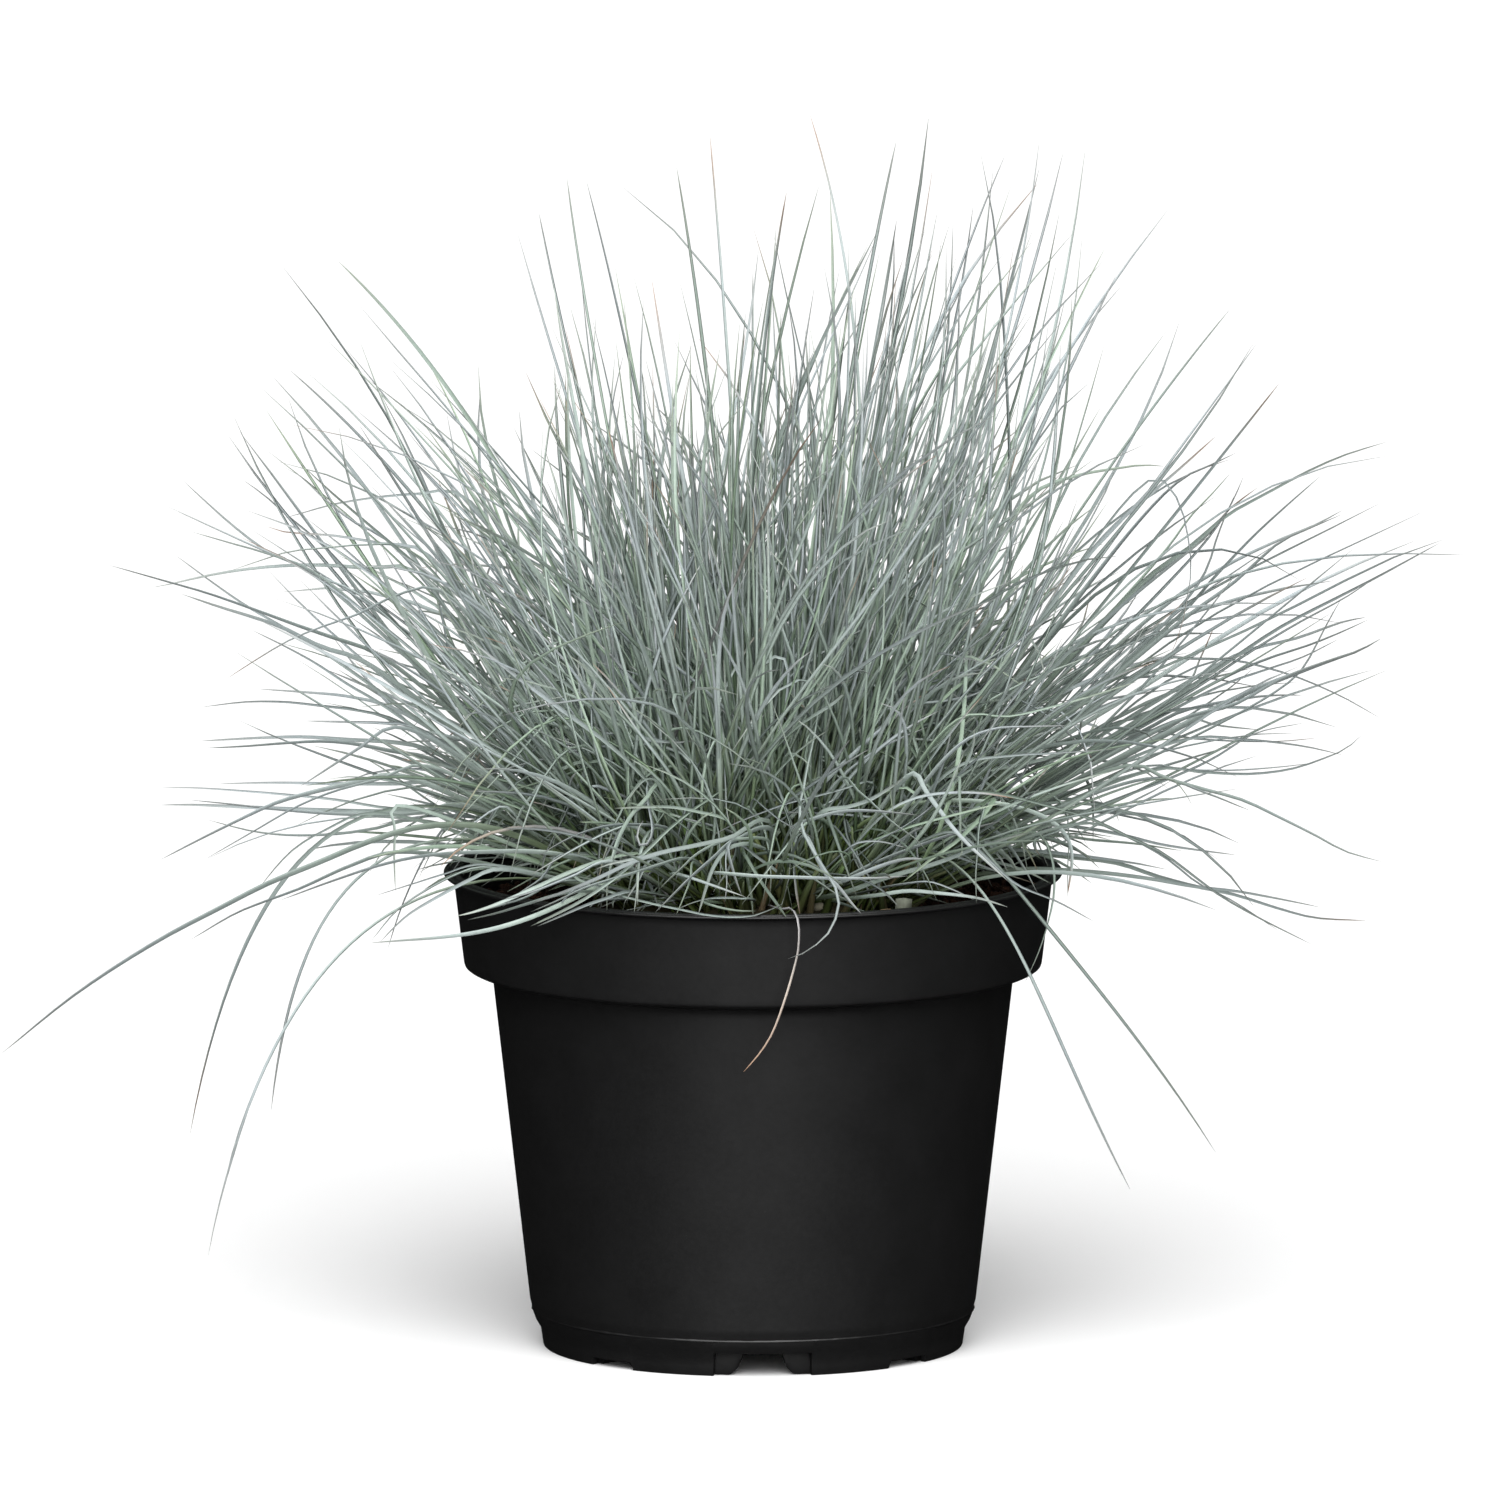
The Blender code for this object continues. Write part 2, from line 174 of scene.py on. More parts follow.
def new_material(name, roughness=0.5, specular=0.5):
    """A material with its node tree and its shader."""
    material = bpy.data.materials.new(name)
    material.use_nodes = True
    tree = material.node_tree
    shader = tree.nodes["Principled BSDF"]
    shader.inputs["Roughness"].default_value = roughness
    shader.inputs["Specular IOR Level"].default_value = specular
    return material, tree, shader


def node(tree, kind, values=(), **settings):
    """A node with its settings, and with values for the sockets that aren't linked."""
    made = tree.nodes.new(kind)
    for key, value in settings.items():
        setattr(made, key, value)
    for key, value in dict(values).items():
        made.inputs[key].default_value = value
    return made


def mottle_group():
    """Two sizes of soft noise on Object coordinates, put out as one mask from 0 to 1."""
    group = bpy.data.node_groups.new("mottle", "ShaderNodeTree")
    for label, default in (("Fine Scale", 400.0), ("Coarse Scale", 60.0), ("Coarse Share", 0.5)):
        socket = group.interface.new_socket(label, in_out="INPUT", socket_type="NodeSocketFloat")
        socket.default_value = default
    group.interface.new_socket("Mask", in_out="OUTPUT", socket_type="NodeSocketFloat")
    inside = group.nodes.new("NodeGroupInput")
    outside = group.nodes.new("NodeGroupOutput")
    place = group.nodes.new("ShaderNodeTexCoord")
    blend = node(group, "ShaderNodeMix", data_type="FLOAT")
    for label, slot in (("Fine Scale", 2), ("Coarse Scale", 3)):
        noise = node(group, "ShaderNodeTexNoise", {"Detail": 3.0, "Roughness": 0.55})
        group.links.new(place.outputs["Object"], noise.inputs["Vector"])
        group.links.new(inside.outputs[label], noise.inputs["Scale"])
        group.links.new(noise.outputs["Fac"], blend.inputs[slot])
    group.links.new(inside.outputs["Coarse Share"], blend.inputs[0])
    group.links.new(blend.outputs[0], outside.inputs["Mask"])
    return group


MOTTLE = mottle_group()


def mottled(tree, fine, coarse, share):
    """The mottle group's mask, with this material's own scales and share."""
    values = {"Fine Scale": fine, "Coarse Scale": coarse, "Coarse Share": share}
    return node(tree, "ShaderNodeGroup", values, node_tree=MOTTLE).outputs["Mask"]


def tint_numbers(tree):
    """The four numbers that a piece's tint attribute carries."""
    tint = node(tree, "ShaderNodeAttribute", attribute_name="tint")
    parts = tree.nodes.new("ShaderNodeSeparateColor")
    tree.links.new(tint.outputs["Color"], parts.inputs["Color"])
    return [parts.outputs[name] for name in ("Red", "Green", "Blue")] + [tint.outputs["Alpha"]]


def ramp(tree, source, stops):
    """A colour ramp fed by the source, with stops of position and colour."""
    made = tree.nodes.new("ShaderNodeValToRGB")
    elements = made.color_ramp.elements
    while len(elements) < len(stops):
        elements.new(0.5)
    for element, (position, colour) in zip(elements, stops):
        element.position = position
        element.color = (*colour, 1.0)
    tree.links.new(source, made.inputs["Fac"])
    return made.outputs["Color"]


def mix_colour(tree, share, first, second, blend="MIX"):
    """Two colours mixed by a share; each may be a socket or a plain colour."""
    made = node(tree, "ShaderNodeMix", data_type="RGBA", blend_type=blend)
    for index, value in ((0, share), (6, first), (7, second)):
        if isinstance(value, bpy.types.NodeSocket):
            tree.links.new(value, made.inputs[index])
        elif index == 0:
            made.inputs[index].default_value = value
        else:
            made.inputs[index].default_value = (*value, 1.0)
    return made.outputs[2]


def add_bump(tree, shader, height, strength, distance):
    """Small relief on the shader's normal, from a height from 0 to 1."""
    bump = node(tree, "ShaderNodeBump", {"Strength": strength, "Distance": distance})
    tree.links.new(height, bump.inputs["Height"])
    tree.links.new(bump.outputs["Normal"], shader.inputs["Normal"])


def to_range(tree, source, low, high):
    """The source's 0 to 1 carried to low and high."""
    made = node(tree, "ShaderNodeMapRange", {"To Min": low, "To Max": high})
    tree.links.new(source, made.inputs["Value"])
    return made.outputs["Result"]


# Materials

def plastic_material():
    """Charcoal satin plastic with the faint mottle of a moulded surface."""
    material, tree, shader = new_material("charcoal_plastic", specular=0.50)
    mask = mottled(tree, 900.0, 90.0, 0.5)
    colour = ramp(tree, mask, [(0.3, (0.0030, 0.0030, 0.0031)), (0.7, (0.0050, 0.0050, 0.0052))])
    tree.links.new(colour, shader.inputs["Base Color"])
    tree.links.new(to_range(tree, mask, 0.44, 0.54), shader.inputs["Roughness"])
    add_bump(tree, shader, mask, 0.10, 0.0002)
    return material


def peat_material():
    """Dark red-brown crumbs, some almost black and some lighter fibres."""
    material, tree, shader = new_material("peat", roughness=0.95, specular=0.2)
    mask = mottled(tree, 1500.0, 300.0, 0.5)
    colour = ramp(tree, mask, [
        (0.30, (0.006, 0.004, 0.003)), (0.50, (0.024, 0.011, 0.007)),
        (0.62, (0.060, 0.026, 0.015)), (0.75, (0.110, 0.055, 0.030)),
    ])
    tree.links.new(colour, shader.inputs["Base Color"])
    add_bump(tree, shader, mask, 0.8, 0.0006)
    return material


def scrap_material():
    """Pale and tan plant scraps: the tint's first number goes from bark brown to grey-green."""
    material, tree, shader = new_material("plant_scraps", roughness=0.8, specular=0.3)
    paleness, *_ = tint_numbers(tree)
    colour = ramp(tree, paleness, [
        (0.0, (0.045, 0.020, 0.012)), (0.4, (0.16, 0.085, 0.045)),
        (0.7, (0.27, 0.19, 0.11)), (1.0, (0.25, 0.27, 0.21)),
    ])
    shade = ramp(tree, mottled(tree, 900.0, 200.0, 0.5), [(0.3, (0.6,) * 3), (0.7, (1.0,) * 3)])
    tree.links.new(mix_colour(tree, 1.0, colour, shade, "MULTIPLY"), shader.inputs["Base Color"])
    return material


def leaf_material(name, stops, green, dry, roughness):
    """Leaf colours from the tint: along the leaf, green, dry, and wax bloom with painted shade.

    The first number runs the ramp from the base to the tip, the second mixes in green, the third
    mixes in the dry colours, and the fourth, the wax bloom and on the blue leaves painted light and
    shade, darkens or whitens the leaf with a fine mottle.
    """
    material, tree, shader = new_material(name, roughness=roughness, specular=0.35)
    along, greenness, dryness, bloom_and_shade = tint_numbers(tree)
    fresh = mix_colour(tree, greenness, ramp(tree, along, stops), green, "MULTIPLY")
    aged = mix_colour(tree, dryness, fresh, ramp(tree, along, dry))
    # The fourth number: wax bloom, and on the blue leaves painted light and shade as well.
    wax_and_shade = ramp(tree, bloom_and_shade, [(0.0, (0.34, 0.36, 0.34)), (1.0, (1.0, 1.0, 1.0))])
    waxed_and_shaded = mix_colour(tree, 1.0, aged, wax_and_shade, "MULTIPLY")
    mask = mottled(tree, 1100.0, 120.0, 0.45)
    worn = ramp(tree, mask, [(0.30, (0.80, 0.81, 0.81)), (0.70, (1.0, 1.0, 1.0))])
    tree.links.new(mix_colour(tree, 1.0, waxed_and_shaded, worn, "MULTIPLY"), shader.inputs["Base Color"])
    uneven = to_range(tree, mask, roughness - 0.08, roughness + 0.08)
    tree.links.new(uneven, shader.inputs["Roughness"])
    return material


# Pot

# The drain holes, and how many cells of the floor's grid reach from a hole's middle to its edge
DRAIN_HOLES = 8
DRAIN_CIRCLE = 27.0 * MM
DRAIN_RADIUS = 3.6 * MM
DRAIN_CELLS = 5

POT_COLUMNS = 256
SEAM_COLUMNS = 720


def pot_profile():
    """Underside, outer wall, lip with the ridge behind its edge, inner wall and floor.

    Each row holds a corner's radius and height, and how far its rounding reaches along its sides,
    in millimetres. The floor's two faces have more rows where the drain holes go through.
    """
    outline = np.array([
        (0.5, 7.0, 0), (45.8, 7.0, 0.1), (46.4, 7.3, 0.15), (46.5, 7.9, 0.25), (47.02, 9.8, 0.6),
        (54.68, 77.0, 0.5), (54.95, 79.75, 1.4), (59.9, 80.35, 1.0), (60.8, 81.05, 0.5),
        (61.05, 83.0, 0.6), (62.45, 94.6, 1.0), (62.8, 97.4, 0.6), (62.95, 98.6, 0.5),
        (63.2, 99.75, 0.35), (64.3, 100.1, 0.3), (65.05, 100.2, 0.1), (65.15, 100.45, 0.1),
        (65.05, 100.7, 0.1), (64.3, 100.72, 0.1), (64.0, 100.45, 0.1), (63.7, 100.45, 0.1),
        (63.4, 100.9, 0.12), (62.9, 101.0, 0.2), (62.4, 100.95, 0.15), (61.95, 100.8, 0.15),
        (61.7, 99.9, 0.2), (61.5, 97.6, 0.2), (61.1, 97.4, 0.2),
        (59.3, 83.3, 1.2), (58.7, 81.2, 1.2), (53.5, 80.3, 0.8), (53.2, 78.4, 0.8),
        (45.7, 10.6, 1.2), (43.6, 8.3, 0.8), (0.5, 8.3, 0),
    ])
    wall = rounded(outline[:, :2], outline[1:-1, 2]) * MM
    pitch = 0.92 * DRAIN_RADIUS / DRAIN_CELLS
    floor = DRAIN_CIRCLE + np.arange(-DRAIN_CELLS - 1, DRAIN_CELLS + 2) * pitch
    under, above = (np.stack([floor, np.full(len(floor), wall[row, 1])], -1) for row in (0, -1))
    return np.concatenate([wall[:1], under, wall[1:-1], above[::-1], wall[-1:]])


def drained(points, faces, rows, columns):
    """The pot's grid with round holes through both faces of its floor.

    Each hole takes the place of a square block of cells. The block's edge goes onto the circle by
    the map of a square to a disc: each coordinate times the root of one less half the other's
    square. A wall of quads joins the two edges, and points that no face uses are dropped.
    """
    side = np.arange(-DRAIN_CELLS, DRAIN_CELLS + 1)
    v, u = np.meshgrid(side / DRAIN_CELLS, side / DRAIN_CELLS, indexing="ij")
    out, across = v * np.sqrt(1 - u ** 2 / 2), u * np.sqrt(1 - v ** 2 / 2)
    last = 2 * DRAIN_CELLS
    edge = [(last, k) for k in range(last)] + [(last - k, last) for k in range(last)]
    edge += [(0, last - k) for k in range(last)] + [(k, 0) for k in range(last)]
    edge = tuple(np.array(edge).T)
    first_row = 2
    quads, walls = faces[0], []
    for hole in range(DRAIN_HOLES):
        angle = POT_TURN + hole * 2 * PI / DRAIN_HOLES
        ahead = np.array([math.cos(angle), math.sin(angle)])
        beside = np.array([-ahead[1], ahead[0]])
        place = ahead * (DRAIN_CIRCLE + DRAIN_RADIUS * out[..., None])
        place = place + beside * DRAIN_RADIUS * across[..., None]
        column = (hole * columns // DRAIN_HOLES + side) % columns
        row = first_row + np.arange(last + 1)[:, None]
        under, above = row * columns + column, (rows - 1 - row) * columns + column
        points[under, :2] = points[above, :2] = place
        for block in (under, above):
            quads = quads[~np.isin(quads, block).all(axis=1)]
        low, high = under[edge], above[edge]
        walls.append(np.stack([np.roll(low, -1), low, high, np.roll(high, -1)], axis=-1))
    faces = [quads, *faces[1:], *walls]
    used = np.unique(np.concatenate([f.ravel() for f in faces]))
    renamed = np.zeros(len(points), dtype=int)
    renamed[used] = np.arange(len(used))
    return points[used], [renamed[f] for f in faces]


def notch_angles():
    """Wide notches at the front and the back, and two low ones between them on each side."""
    return POT_TURN + np.array([0, 4, 1, 3, 5, 7]) * PI / 4


def foot_points():
    """The skirt and the pads under the floor, as a grid of profile rows by angles.

    The underside's height depends on both: it is nought on the pads, rises in a quarter ellipse
    into each channel, and jumps to the notch's height in the skirt's windows. The skirt's outside
    is straight up to skirt_top, and then an arc that leans out to meet the body at the seam.
    """
    pad_inner, pad_outer, pad_edge, skirt, top = 34.0, 43.0, 1.4, 44.2, 7.4
    skirt_top, arc_centre, arc_radius = (44.8, 4.0), (35.55, 11.0), 11.6
    channel_height, skirt_edge = 6.4, 0.25
    wide = np.array([True] * 2 + [False] * 4)
    notch_height = np.where(wide, 4.8, 1.5)
    half_notch = np.radians(np.where(wide, 26.7, 14.5)) / 2
    half_channel = np.where(wide, 3.9, 2.3)
    rounding = np.where(wide, 3.65, 2.6)
    middle = notch_angles()
    fine = np.concatenate([
        m + s * (h + np.linspace(-0.6, 0.6, 7) / skirt) for m, h in zip(middle, half_notch)
        for s in (-1, 1)
    ])
    angles = np.unique(np.round(np.mod(np.concatenate([np.linspace(0, 2 * PI, 360, False), fine]),
                                       2 * PI), 6))
    offset = (angles[:, None] - middle + PI) % (2 * PI) - PI
    nearest = np.abs(offset).argmin(axis=1)
    away = np.abs(offset).min(axis=1)

    def pad_height(radius):
        inside = (radius * away - half_channel[nearest]) / rounding[nearest]
        wall = 1 - np.sqrt(1 - (1 - np.clip(inside, 0, 1)) ** 2)
        edge = min(radius - pad_inner, (pad_outer - radius) * 2) / pad_edge
        rim = 1 - math.sqrt(1 - (1 - min(max(edge, 0.0), 1.0)) ** 2)
        return channel_height * (1 - (1 - wall) * (1 - 0.35 * rim))

    window = 1 - smooth_step((skirt * (away - half_notch[nearest]) + 0.2) / 0.4)
    skirt_height = notch_height[nearest] * window
    rows = [(pad_inner + 0.3, np.full_like(angles, top)), (pad_inner, pad_height(pad_inner) + 0.2)]
    rows += [(r, pad_height(r)) for r in (34.05, 34.4, 35.0, 36.0, 38.0, 40.0, 42.0, 42.6, 42.95)]
    rows += [(pad_outer, skirt_height + 0.1), (pad_outer + 0.2, skirt_height)]
    rows += [(skirt - skirt_edge, skirt_height), (skirt - 0.05, skirt_height + 0.06)]
    for s in (0.0, 0.25, 0.5, 0.75, 1.0):
        height = skirt_height + skirt_edge + (top - skirt_edge - skirt_height) * s
        straight = skirt + (skirt_top[0] - skirt) * height / skirt_top[1]
        curved = arc_centre[0] + np.sqrt(arc_radius ** 2 - (arc_centre[1] - height) ** 2)
        rows.append((np.where(height < skirt_top[1], straight, curved) - 0.08 * (s == 1.0), height))
    rows += [(skirt - 0.1, np.full_like(angles, top))]
    radius = np.stack([np.broadcast_to(r, angles.shape) for r, _ in rows])
    height = np.stack([z for _, z in rows])
    return np.stack([radius * np.cos(angles), radius * np.sin(angles), height], axis=-1) * MM


def make_parting_line(plastic):
    """The thin burr at the seam of body and foot: a three-sided ring whose size comes and goes."""
    angles = np.linspace(0, 2 * PI, SEAM_COLUMNS, endpoint=False)
    size = 0.55 + 0.45 * lattice_noise(np.cos(angles), np.sin(angles), 0.21, 6)
    size *= 0.75 + 0.25 * lattice_noise(np.cos(angles), np.sin(angles), 0.03, 7)
    radius = 46.3 + np.stack([0 * size, 0.15 + 0.50 * size, 0.20 + 0.10 * size])
    height = 7.75 + np.stack([0 * size, 0 * size, 0.10 + 0.40 * size])
    ring = np.stack([radius * np.cos(angles), radius * np.sin(angles), height], axis=-1) * MM
    burr = add_mesh("pot_parting_line", *turned_ring(ring), plastic)
    burr.data.set_sharp_from_angle(angle=math.radians(30))
    return burr


def make_pot():
    """The body with its collar, lip and drain holes, the foot, and the burr between the two."""
    plastic = plastic_material()
    angles = POT_TURN + np.linspace(0, 2 * PI, POT_COLUMNS, endpoint=False)
    wall = turned(pot_profile(), angles)
    body = add_mesh("pot_body", *drained(*turned_grid(wall), *wall.shape[:2]), plastic)
    body.data.set_sharp_from_angle(angle=math.radians(50))
    foot = add_mesh("pot_foot", *turned_ring(foot_points()), plastic)
    foot.data.set_sharp_from_angle(angle=math.radians(40))
    for piece in (body, foot, make_parting_line(plastic)):
        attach(piece, "root")
        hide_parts("pot")


# Peat, its crumbs and the scraps on it

def soil_height(x, y):
    """The peat's surface: four sizes of soft noise, sloping a little towards the rim."""
    radius = np.hypot(x, y)
    lumps = 1.1 * lattice_noise(x, y, 9 * MM, 1) + 0.8 * lattice_noise(x, y, 4 * MM, 2)
    lumps += 0.55 * lattice_noise(x, y, 1.8 * MM, 3) + 0.3 * lattice_noise(x, y, 0.9 * MM, 4)
    return SOIL_LEVEL + (0.6 * lumps - 1.2 * smooth_step(radius / (60 * MM))) * MM


def make_soil():
    """The peat's rippled top, with sides that follow the pot's inner wall down to the floor."""
    peat = peat_material()
    angles = np.linspace(0, 2 * PI, 240, endpoint=False)
    top_radii = np.linspace(2, 60.3, 80)
    side_radii = [60.2, 58.9, 57.2, 52.6, 45.0, 2.0]
    side_drop = np.array([2.0, 10.0, 11.8, 14.6, 84.2, 85.2]) * MM
    radii = np.concatenate([top_radii, side_radii]) * MM
    points = turned(np.stack([radii, np.full(len(radii), SOIL_LEVEL)], axis=-1), angles)
    top, side = points[:len(top_radii)], points[len(top_radii):]
    top[..., 2] = soil_height(top[..., 0], top[..., 1])
    side[..., 2] -= side_drop[:, None]
    soil = add_mesh("peat_surface", *turned_grid(points[::-1]), peat)
    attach(soil, "root")
    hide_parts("soil")
    make_crumbs(peat)


def icosahedron():
    """Its twelve corners on the unit ball, from three golden rectangles, and its twenty faces."""
    g = (1 + math.sqrt(5)) / 2
    corners = np.array([
        (-1, g, 0), (1, g, 0), (-1, -g, 0), (1, -g, 0), (0, -1, g), (0, 1, g),
        (0, -1, -g), (0, 1, -g), (g, 0, -1), (g, 0, 1), (-g, 0, -1), (-g, 0, 1),
    ]) / math.sqrt(1 + g * g)
    faces = np.array([
        (0, 11, 5), (0, 5, 1), (0, 1, 7), (0, 7, 10), (0, 10, 11), (1, 5, 9), (5, 11, 4),
        (11, 10, 2), (10, 7, 6), (7, 1, 8), (3, 9, 4), (3, 4, 2), (3, 2, 6), (3, 6, 8),
        (3, 8, 9), (4, 9, 5), (2, 4, 11), (6, 2, 10), (8, 6, 7), (9, 8, 1),
    ])
    return corners, faces


def make_crumbs(peat):
    """Loose crumbs: jittered twenty-sided lumps scattered over the peat, half sunk in it."""
    draw = np.random.default_rng(5)
    count = 2600
    corners, faces = icosahedron()
    radius = np.sqrt(draw.uniform((CROWN_EDGE - 4 * MM) ** 2, (60 * MM) ** 2, count))
    angle = draw.uniform(0, 2 * PI, count)
    size = draw.uniform(0.35, 1.25, count) ** 1.6 * MM
    middle = np.stack([radius * np.cos(angle), radius * np.sin(angle)], axis=-1)
    height = soil_height(middle[:, 0], middle[:, 1]) + 0.35 * size
    stretch = draw.uniform(0.6, 1.3, (count, 1, 3)) * size[:, None, None]
    lumps = corners * draw.uniform(0.75, 1.2, (count, len(corners), 1)) * stretch
    lumps += np.concatenate([middle, height[:, None]], axis=1)[:, None]
    index = (faces + len(corners) * np.arange(count)[:, None, None]).reshape(-1, 3)
    crumbs = add_mesh("peat_crumbs", lumps, [index], peat, smooth=False)
    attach(crumbs, "root")
    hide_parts("soil")


def make_scraps():
    """Bark, straw and cut leaf on the peat: folded strips laid along its surface or stood in it.

    Three more stand at the front: a pale cut stub, a pale crumb and a tan chip.
    """
    draw = np.random.default_rng(11)
    count = 110
    middle = round_point(draw.uniform(0, 2 * PI, count),
                         np.sqrt(draw.uniform(30 ** 2, 58 ** 2, count)), np.zeros(count))
    way = draw.uniform(0, 2 * PI, count)
    length = draw.uniform(1.2, 7.5, count) * MM
    half = draw.uniform(0.12, 0.45, count) * MM
    share = np.linspace(0, 1, 4)
    along = np.stack([np.cos(way), np.sin(way), np.zeros(count)], -1) * length[:, None]
    lying = middle[:, None] + (share - 0.5)[:, None] * along[:, None]
    lying[..., 2] = soil_height(lying[..., 0], lying[..., 1]) + (0.4 * MM + half[:, None])
    lying[..., 2] += draw.uniform(0, 0.25, (count, 1)) * length[:, None] * share
    ends = np.array([
        ((31.3, -36, 96.0), (31.6, -36.4, 100.3)), ((12.4, -32, 97.5), (14.8, -33, 98.3)),
        ((26.0, -36, 97.2), (29.0, -37, 98.0)),
    ]) * MM
    standing = ends[:, :1] + share[:, None] * (ends[:, 1:] - ends[:, :1])
    half = np.concatenate([np.array([1.75, 0.85, 0.55]) * MM, half])
    facing = np.concatenate([[(0.1, -1, 0.2)] * 3, draw.normal(0, 0.5, (count, 3)) + (0, 0, 1)])
    width = half[:, None] * np.array([0.7, 1.0, 1.0, 0.7])
    width[0] = half[0]
    twist = draw.normal(0, 0.6, len(half))
    points = swept(np.concatenate([standing, lying]), width, 0.5, facing, twist)
    tint = np.zeros((*points.shape[:3], 4))
    paleness = np.concatenate([[1.0, 0.9, 0.7], draw.random(count) ** 1.6 * 0.8])
    tint[..., 0] = paleness[:, None, None]
    faces = swept_faces(*points.shape[:2])
    scraps = add_mesh("plant_scraps", points, faces, scrap_material(), smooth=False)
    set_tint(scraps, tint)
    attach(scraps, "root")
    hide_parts("soil")


# Leaves

# Points along a random leaf and along one drawn through given points, a leaf's folded section in
# half widths, and the painted light and shade of its corners: lit edges, shaded groove and keel
STATIONS = 13
PLACED_STATIONS = 35
SECTION = np.array([(-1.0, 0.30), (0.0, 0.02), (1.0, 0.30), (0.0, -0.80)])
CORNER_LIGHT_AND_SHADE = np.array([1.0, 0.35, 0.75, 0.10])

# The shoots, the leaves that each one bears, the others that grow at random, and the height in
# millimetres that those start from
TILLER_COUNT = 240
LEAVES_EACH = 7
SKIRT_COUNT = 370
FRINGE_COUNT = 430
WANDERING_COUNT = 200
LEAF_FOOT = 95.5

# How many random leaves are broad or dead, how much less green the drawn leaves are, and the
# greenness of the three leaves painted as lit
BROAD_SHARE = 0.03
DEAD_SHARE = 0.002
DRAWN_GREEN = -0.17
LIT_LEAVES_GREEN = 0.08

# Where leaves keep clear of the pot and the peat, and how far the random ones reach
RIM_BAND = (56 * MM, 67 * MM)
OVER_RIM = 101.6 * MM
PEAT_BAND = (33 * MM, 56 * MM)
OVER_PEAT = 95.2 * MM
REACH_OUT = 150 * MM
REACH_UP = 256 * MM
REACH_DOWN = 91 * MM
TIP_DOWN = 97 * MM

# The pot's front in the photograph's frame: half its width, and the level just under its lip
FRONT_HALF_PIXELS = 330
FRONT_TOP_PIXEL = 919

# How far leaves reach at each angle, in degrees from the viewer's right over the top to the left
BUNCHES = (
    (0, 0.80), (15, 0.68), (22, 0.98), (28, 1.10), (38, 1.12), (46, 0.76), (53, 0.50),
    (63, 0.74), (71, 1.38), (80, 1.08), (90, 0.74), (98, 1.02), (106, 0.84), (113, 0.50),
    (121, 0.92), (130, 1.06), (141, 0.76), (149, 0.52), (158, 0.62), (180, 0.70),
)

# Long leaves, listed one by one, in millimetres: the point that draws the arch, then the tip
LONG_LEAVES = (
    ((-99, -32, 156), (-118, -40, 51)), ((-95, -48, 126), (-114, -58, 28)),
    ((-92, -36, 140), (-101, -40, 56)), ((-55, -10, 172), (-97, -15, 209)),
    ((-45, 0, 190), (-87, 0, 230)), ((-38, 0, 205), (-45, 10, 239)),
    ((-34, 0, 205), (-39, -10, 249)), ((-20, 0, 190), (-35, 15, 245)),
    ((-5, 0, 185), (-16, -15, 252)), ((-2, 5, 180), (-9, 10, 255)),
    ((-4, 0, 185), (7, -10, 246)), ((34, 0, 190), (12, 0, 261)),
    ((16, 0, 190), (30, -5, 256)), ((28, 0, 195), (53, 5, 252)),
    ((52, 0, 185), (60, -10, 257)), ((48, 5, 180), (74, 20, 230)),
    ((50, -5, 175), (76, -15, 229)), ((62, -10, 175), (100, -15, 222)),
    ((72, 10, 165), (106, 25, 209)), ((70, -20, 155), (110, -35, 209)),
    ((10, -96, 130), (20, -144, 150)), ((-30, -86, 124), (-52, -122, 128)),
    ((40, -80, 120), (62, -112, 124)), ((-14, 90, 140), (-25, 141, 112)),
    ((30, 100, 140), (45, 137, 78)), ((-60, 92, 132), (-78, 116, 66)),
    ((0, 50, 165), (0, 100, 214)), ((-20, -46, 160), (-30, -96, 208)),
)

# Leaves that hang or curl, in millimetres: the root, the points that draw the curve, and the tip
CURLED_LEAVES = (
    ((16, -14, 97), (16, -40, 130), (46, -46, 122), (74, -36, 124), (67, -34, 110), (66, -34, 101)),
    ((14, -14, 96), (20, -30, 170), (38, -44, 112), (66, -48, 98), (97, -40, 47)),
    ((24, -14, 97), (38, -40, 126), (54, -56, 104), (60, -52, 78), (79, -45, 40)),
    ((-12, -20, 97), (-24, -50, 122), (-40, -66, 94), (-56, -60, 97), (-80, -50, 93)),
    ((-8, -18, 97), (-20, -44, 124), (-44, -52, 102), (-62, -52, 99)),
)
